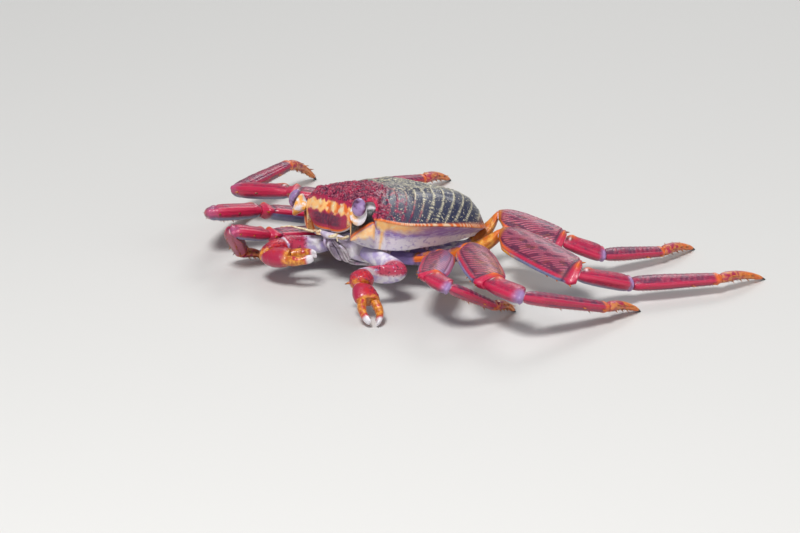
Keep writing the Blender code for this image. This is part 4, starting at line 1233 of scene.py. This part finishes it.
# underside: rows of the thorax (y, top, side top half width, low half width and z, sternum half width and z),
# edges and half widths of the folded tail's plates
belly = {
    "stations": (
        (-25.4, -7.2, 6.0, 6.4, -8.8, 4.0, -9.8),
        (-22.8, -6.2, 8.5, 9.0, -11.2, 6.0, -12.6),
        (-19.8, -5.6, 9.0, 9.6, -15.0, 6.5, -16.6),
        (-14.5, -5.2, 14.0, 13.6, -17.6, 8.0, -18.0),
        (-13.0, -5.2, 15.0, 14.6, -17.8, 9.0, -18.2),
        (0.0, -5.2, 15.0, 14.6, -17.6, 9.0, -18.0),
        (9.0, -5.2, 15.0, 14.2, -16.6, 8.6, -17.2),
        (14.0, -5.2, 14.4, 13.2, -15.6, 8.2, -16.4),
        (20.5, -5.6, 12.4, 11.0, -14.0, 6.8, -14.8),
        (25.5, -7.4, 10.2, 9.0, -12.6, 5.4, -13.4),
    ),
    "grooves": (-16.2, -11.4, -2.6, 5.4, 13.2, 20.6),
    "tailEdges": (-15.5, -10.5, -4.0, 2.5, 8.5, 14.0, 19.5, 24.5),
    "tailHalf": (2.6, 4.4, 5.6, 6.4, 7.0, 7.2, 6.8, 5.6),
    "mouth": ((-26.6, 0.9, 2.6), (-24.4, 0.7, 4.2), (-21.8, 0.6, 4.9), (-19.4, 0.8, 4.2)),
    "mouthJoint": -23.9,
    "mouthTubes": (
        ("Branch", ((5.3, -19.9, -17.2), (5.9, -22.4, -14.0), (5.0, -25.0, -11.6)), (0.5, 0.6, 0.3)),
        ("Palp", ((2.2, -27.0, -10.6), (1.3, -27.6, -11.8), (1.0, -26.9, -13.2)), (0.7, 0.6, 0.3)),
    ),
    "mouthEdge": (
        (-9.6, -24.2, -8.8), (-5.2, -26.5, -8.2), (0, -27.2, -8.5),
        (5.2, -26.5, -8.2), (9.6, -24.2, -8.8),
    ),
}
plainBelly = {"groove": 0, "top": 0, "mouth": 0, "flank": 0}


def sternumLevel(y):
    return profile(belly["stations"], 6, y)


# flat closed bar along the body: middle, half width and thickness at each y
def barGrid(y, middle, half, low, thick, around, corner):
    angle = anglesAround(around)
    x = middle + half[:, None] * signedPower(np.cos(angle), corner[0])
    z = (low - thick / 2)[:, None] + (thick / 2)[:, None] * signedPower(np.sin(angle), corner[1])
    return np.stack([x, np.broadcast_to(y[:, None], x.shape), z], 2), angle


def buildThorax():
    rows = belly["stations"]
    y = np.linspace(rows[0][0], rows[-1][0], 170)
    top, wideTop, wideLow, low, wideFloor, deep = (profile(rows, k, y) for k in range(1, 7))
    corners = (
        (0 * y, top + 0.1), (0.55 * wideTop, top), (wideTop, top - 0.5), (wideTop, 0.45 * top + 0.55 * low),
        (wideLow, low), (wideFloor, deep), (0.35 * wideFloor, deep + 0.15), (0 * y, deep + 0.2),
    )
    place = np.linspace(0, 7, 33)
    x, z = (np.stack(values, 1) for values in zip(*corners))
    x, z = (np.stack([smoothCurve(range(8), row, place) for row in rows]) for rows in (x, z))
    x, z = np.concatenate([x, -x[:, -2:0:-1]], 1), np.concatenate([z, z[:, -2:0:-1]], 1)
    ax = np.abs(x)
    grid = np.stack([x, np.broadcast_to(y[:, None], x.shape), z], 2)
    slanted = y[:, None] - 0.012 * x**2
    groove = sum(bump(slanted, at, 0.42) for at in belly["grooves"]) * ramp(ax, 3.0, 6.0)
    groove = np.clip(groove, 0, 1) * ramp(-z, 8.0, 12.0)
    dimple = ramp(-z, 13.5, 16.0) * ramp(ax, 1.0, 4.0) * waves(x, slanted, 51, 5)
    grid = grid - outwards(grid) * (0.5 * groove + 0.025 * dimple)[:, :, None]
    masks = {
        "groove": groove,
        "top": ramp(z, -8, -6),
        # mouthparts: mauve partly their own tone, partly painted shade, growing towards the lower side
        "mouth": fade(y, -23.5, -20.5)[:, None] * ramp(-z, 7.6, 9.4),
        "flank": ramp(ax, 9.0, 13.0) * ramp(-z, 9.0, 13.0),
    }
    addBodyPiece("thoraxShell", *roundEnds(grid, masks), "belly", "shell_pale", "thorax")


def buildTail():
    edges = np.array(belly["tailEdges"])
    spans = [np.linspace(a, b, 22, endpoint=False) for a, b in zip(edges, edges[1:])]
    y = np.concatenate(spans + [edges[-1:]])
    half = smoothCurve(edges, belly["tailHalf"], y)
    k = np.clip(np.searchsorted(edges, y, side="right") - 1, 0, len(edges) - 2)
    t = (y - edges[k]) / (edges[k + 1] - edges[k])
    thick = 1.1 + 0.55 * ramp(t, 0.0, 0.09) * (1 - 0.75 * t)
    wide = half - 0.12 * bump(t, 0, 0.06)
    grid, angle = barGrid(y, 0, wide, sternumLevel(y) - 0.35, thick, 40, (0.8, 0.65))
    seams = np.clip(bump(t, 0.02, 0.04) + bump(t, 1.0, 0.03), 0, 1)[:, None] * (np.sin(angle) < 0.3)
    flank = 0.5 * ramp(np.abs(grid[:, :, 0]) / half[:, None], 0.75, 0.98)
    masks = {**plainBelly, "groove": seams, "flank": flank}
    addBodyPiece("tailShell", *roundEnds(grid, masks), "belly", "shell_pale", "abdomen")


def buildMouth(side):
    rows, joint = belly["mouth"], belly["mouthJoint"]
    y = np.linspace(rows[0][0], rows[-1][0], 80)
    inner, outer = (profile(rows, k, y) for k in (1, 2))
    outer = outer - 0.35 * bump(y, joint, 0.3)
    middle = (inner + outer)[:, None] / 2
    thick = 1.5 - 0.45 * bump(y, joint, 0.25)
    grid, _ = barGrid(y, middle, (outer - inner) / 2, sternumLevel(y) - 0.4, thick, 32, (0.7, 0.7))
    seams = np.clip(bump(y, joint, 0.3)[:, None] + bump(grid[:, :, 0], middle + 0.8, 0.3), 0, 1)
    full, masks = roundEnds(grid, {**plainBelly, "groove": seams, "mouth": 1})
    cap = side.capitalize()
    addBodyPiece(f"mouth{cap}", sided(full, side), masks, "belly", "shell_pale", f"maxilliped_{side}")
    # slender outer branch, and a palp folded over the front
    for part, path, radii in belly["mouthTubes"]:
        tube = sided(tubeGrid(path, radii, 30, 12), side)
        addBodyPiece(f"mouth{part}{cap}", tube, {**plainBelly, "mouth": 1}, "belly", "shell_pale")


buildThorax()
buildTail()
mouthEdge = tubeGrid(belly["mouthEdge"], (0.6, 1.1, 1.35, 1.1, 0.6), 60, 20)
addBodyPiece("mouthEdge", *roundEnds(mouthEdge, plainBelly), "belly", "shell_pale")
for side in ("left", "right"):
    buildMouth(side)
print("underside built")

setPieces("spines", "spine", spineSpots["spine"], "spine", "leg_crimson", 10, 0.14)
setPieces("bristles", "spine", spineSpots["bristle"], "spine", "leg_crimson", 4, 0.2)
print("spines set")


# floor, light and camera; lamps: place, size, power
view = {
    "target": (0.00638, -0.02645, 0.00215),
    "direction": (0.760, -0.552, 0.342),
    "distance": 3.0,
    "lens": 346.9,
    "floorHalf": 6.0,
    "floorLevel": -0.0002,
    "skyColour": (0.85, 0.88, 0.92),
    "skyStrength": 0.34,
    "lamps": {
        "key": ((0.5, -0.7, 1.2), 0.35, 20.0),
        "fill": ((1.2, 0.4, 0.5), 0.9, 4.0),
        "back": ((-0.8, 0.9, 0.9), 0.6, 5.0),
    },
}


def setInStudio(name, data, place, direction):
    obj = bpy.data.objects.new(name, data)
    obj.location = place
    obj.rotation_euler = (-direction).to_track_quat("-Z", "Y").to_euler()
    bpy.context.scene.collection.objects.link(obj)
    return obj


def buildStudio():
    floorMesh = bpy.data.meshes.new("floor")
    s, z = view["floorHalf"], view["floorLevel"]
    floorMesh.from_pydata([(-s, -s, z), (s, -s, z), (s, s, z), (-s, s, z)], [], [(0, 1, 2, 3)])
    floor = bpy.data.objects.new("floor", floorMesh)
    bpy.context.scene.collection.objects.link(floor)
    floorMesh.materials.append(shellMaterial("floor", "floor", roughness=0.7, coat=0, grain=None))
    scene = bpy.context.scene
    scene.world = scene.world or bpy.data.worlds.new("studio")
    scene.world.use_nodes = True
    sky = scene.world.node_tree.nodes["Background"]
    sky.inputs["Color"].default_value = (*view["skyColour"], 1)
    sky.inputs["Strength"].default_value = view["skyStrength"]
    for name, (place, size, power) in view["lamps"].items():
        data = bpy.data.lights.new(name, "AREA")
        data.size = size
        data.energy = power
        setInStudio(name, data, place, Vector(place))
    data = bpy.data.cameras.new("camera")
    data.lens = view["lens"]
    data.sensor_width = 36.0
    data.clip_end = 50.0
    direction = Vector(view["direction"]).normalized()
    place = Vector(view["target"]) + direction * view["distance"]
    scene.camera = setInStudio("camera", data, place, direction)
    scene.view_settings.view_transform = "Standard"


buildStudio()
print("studio built")
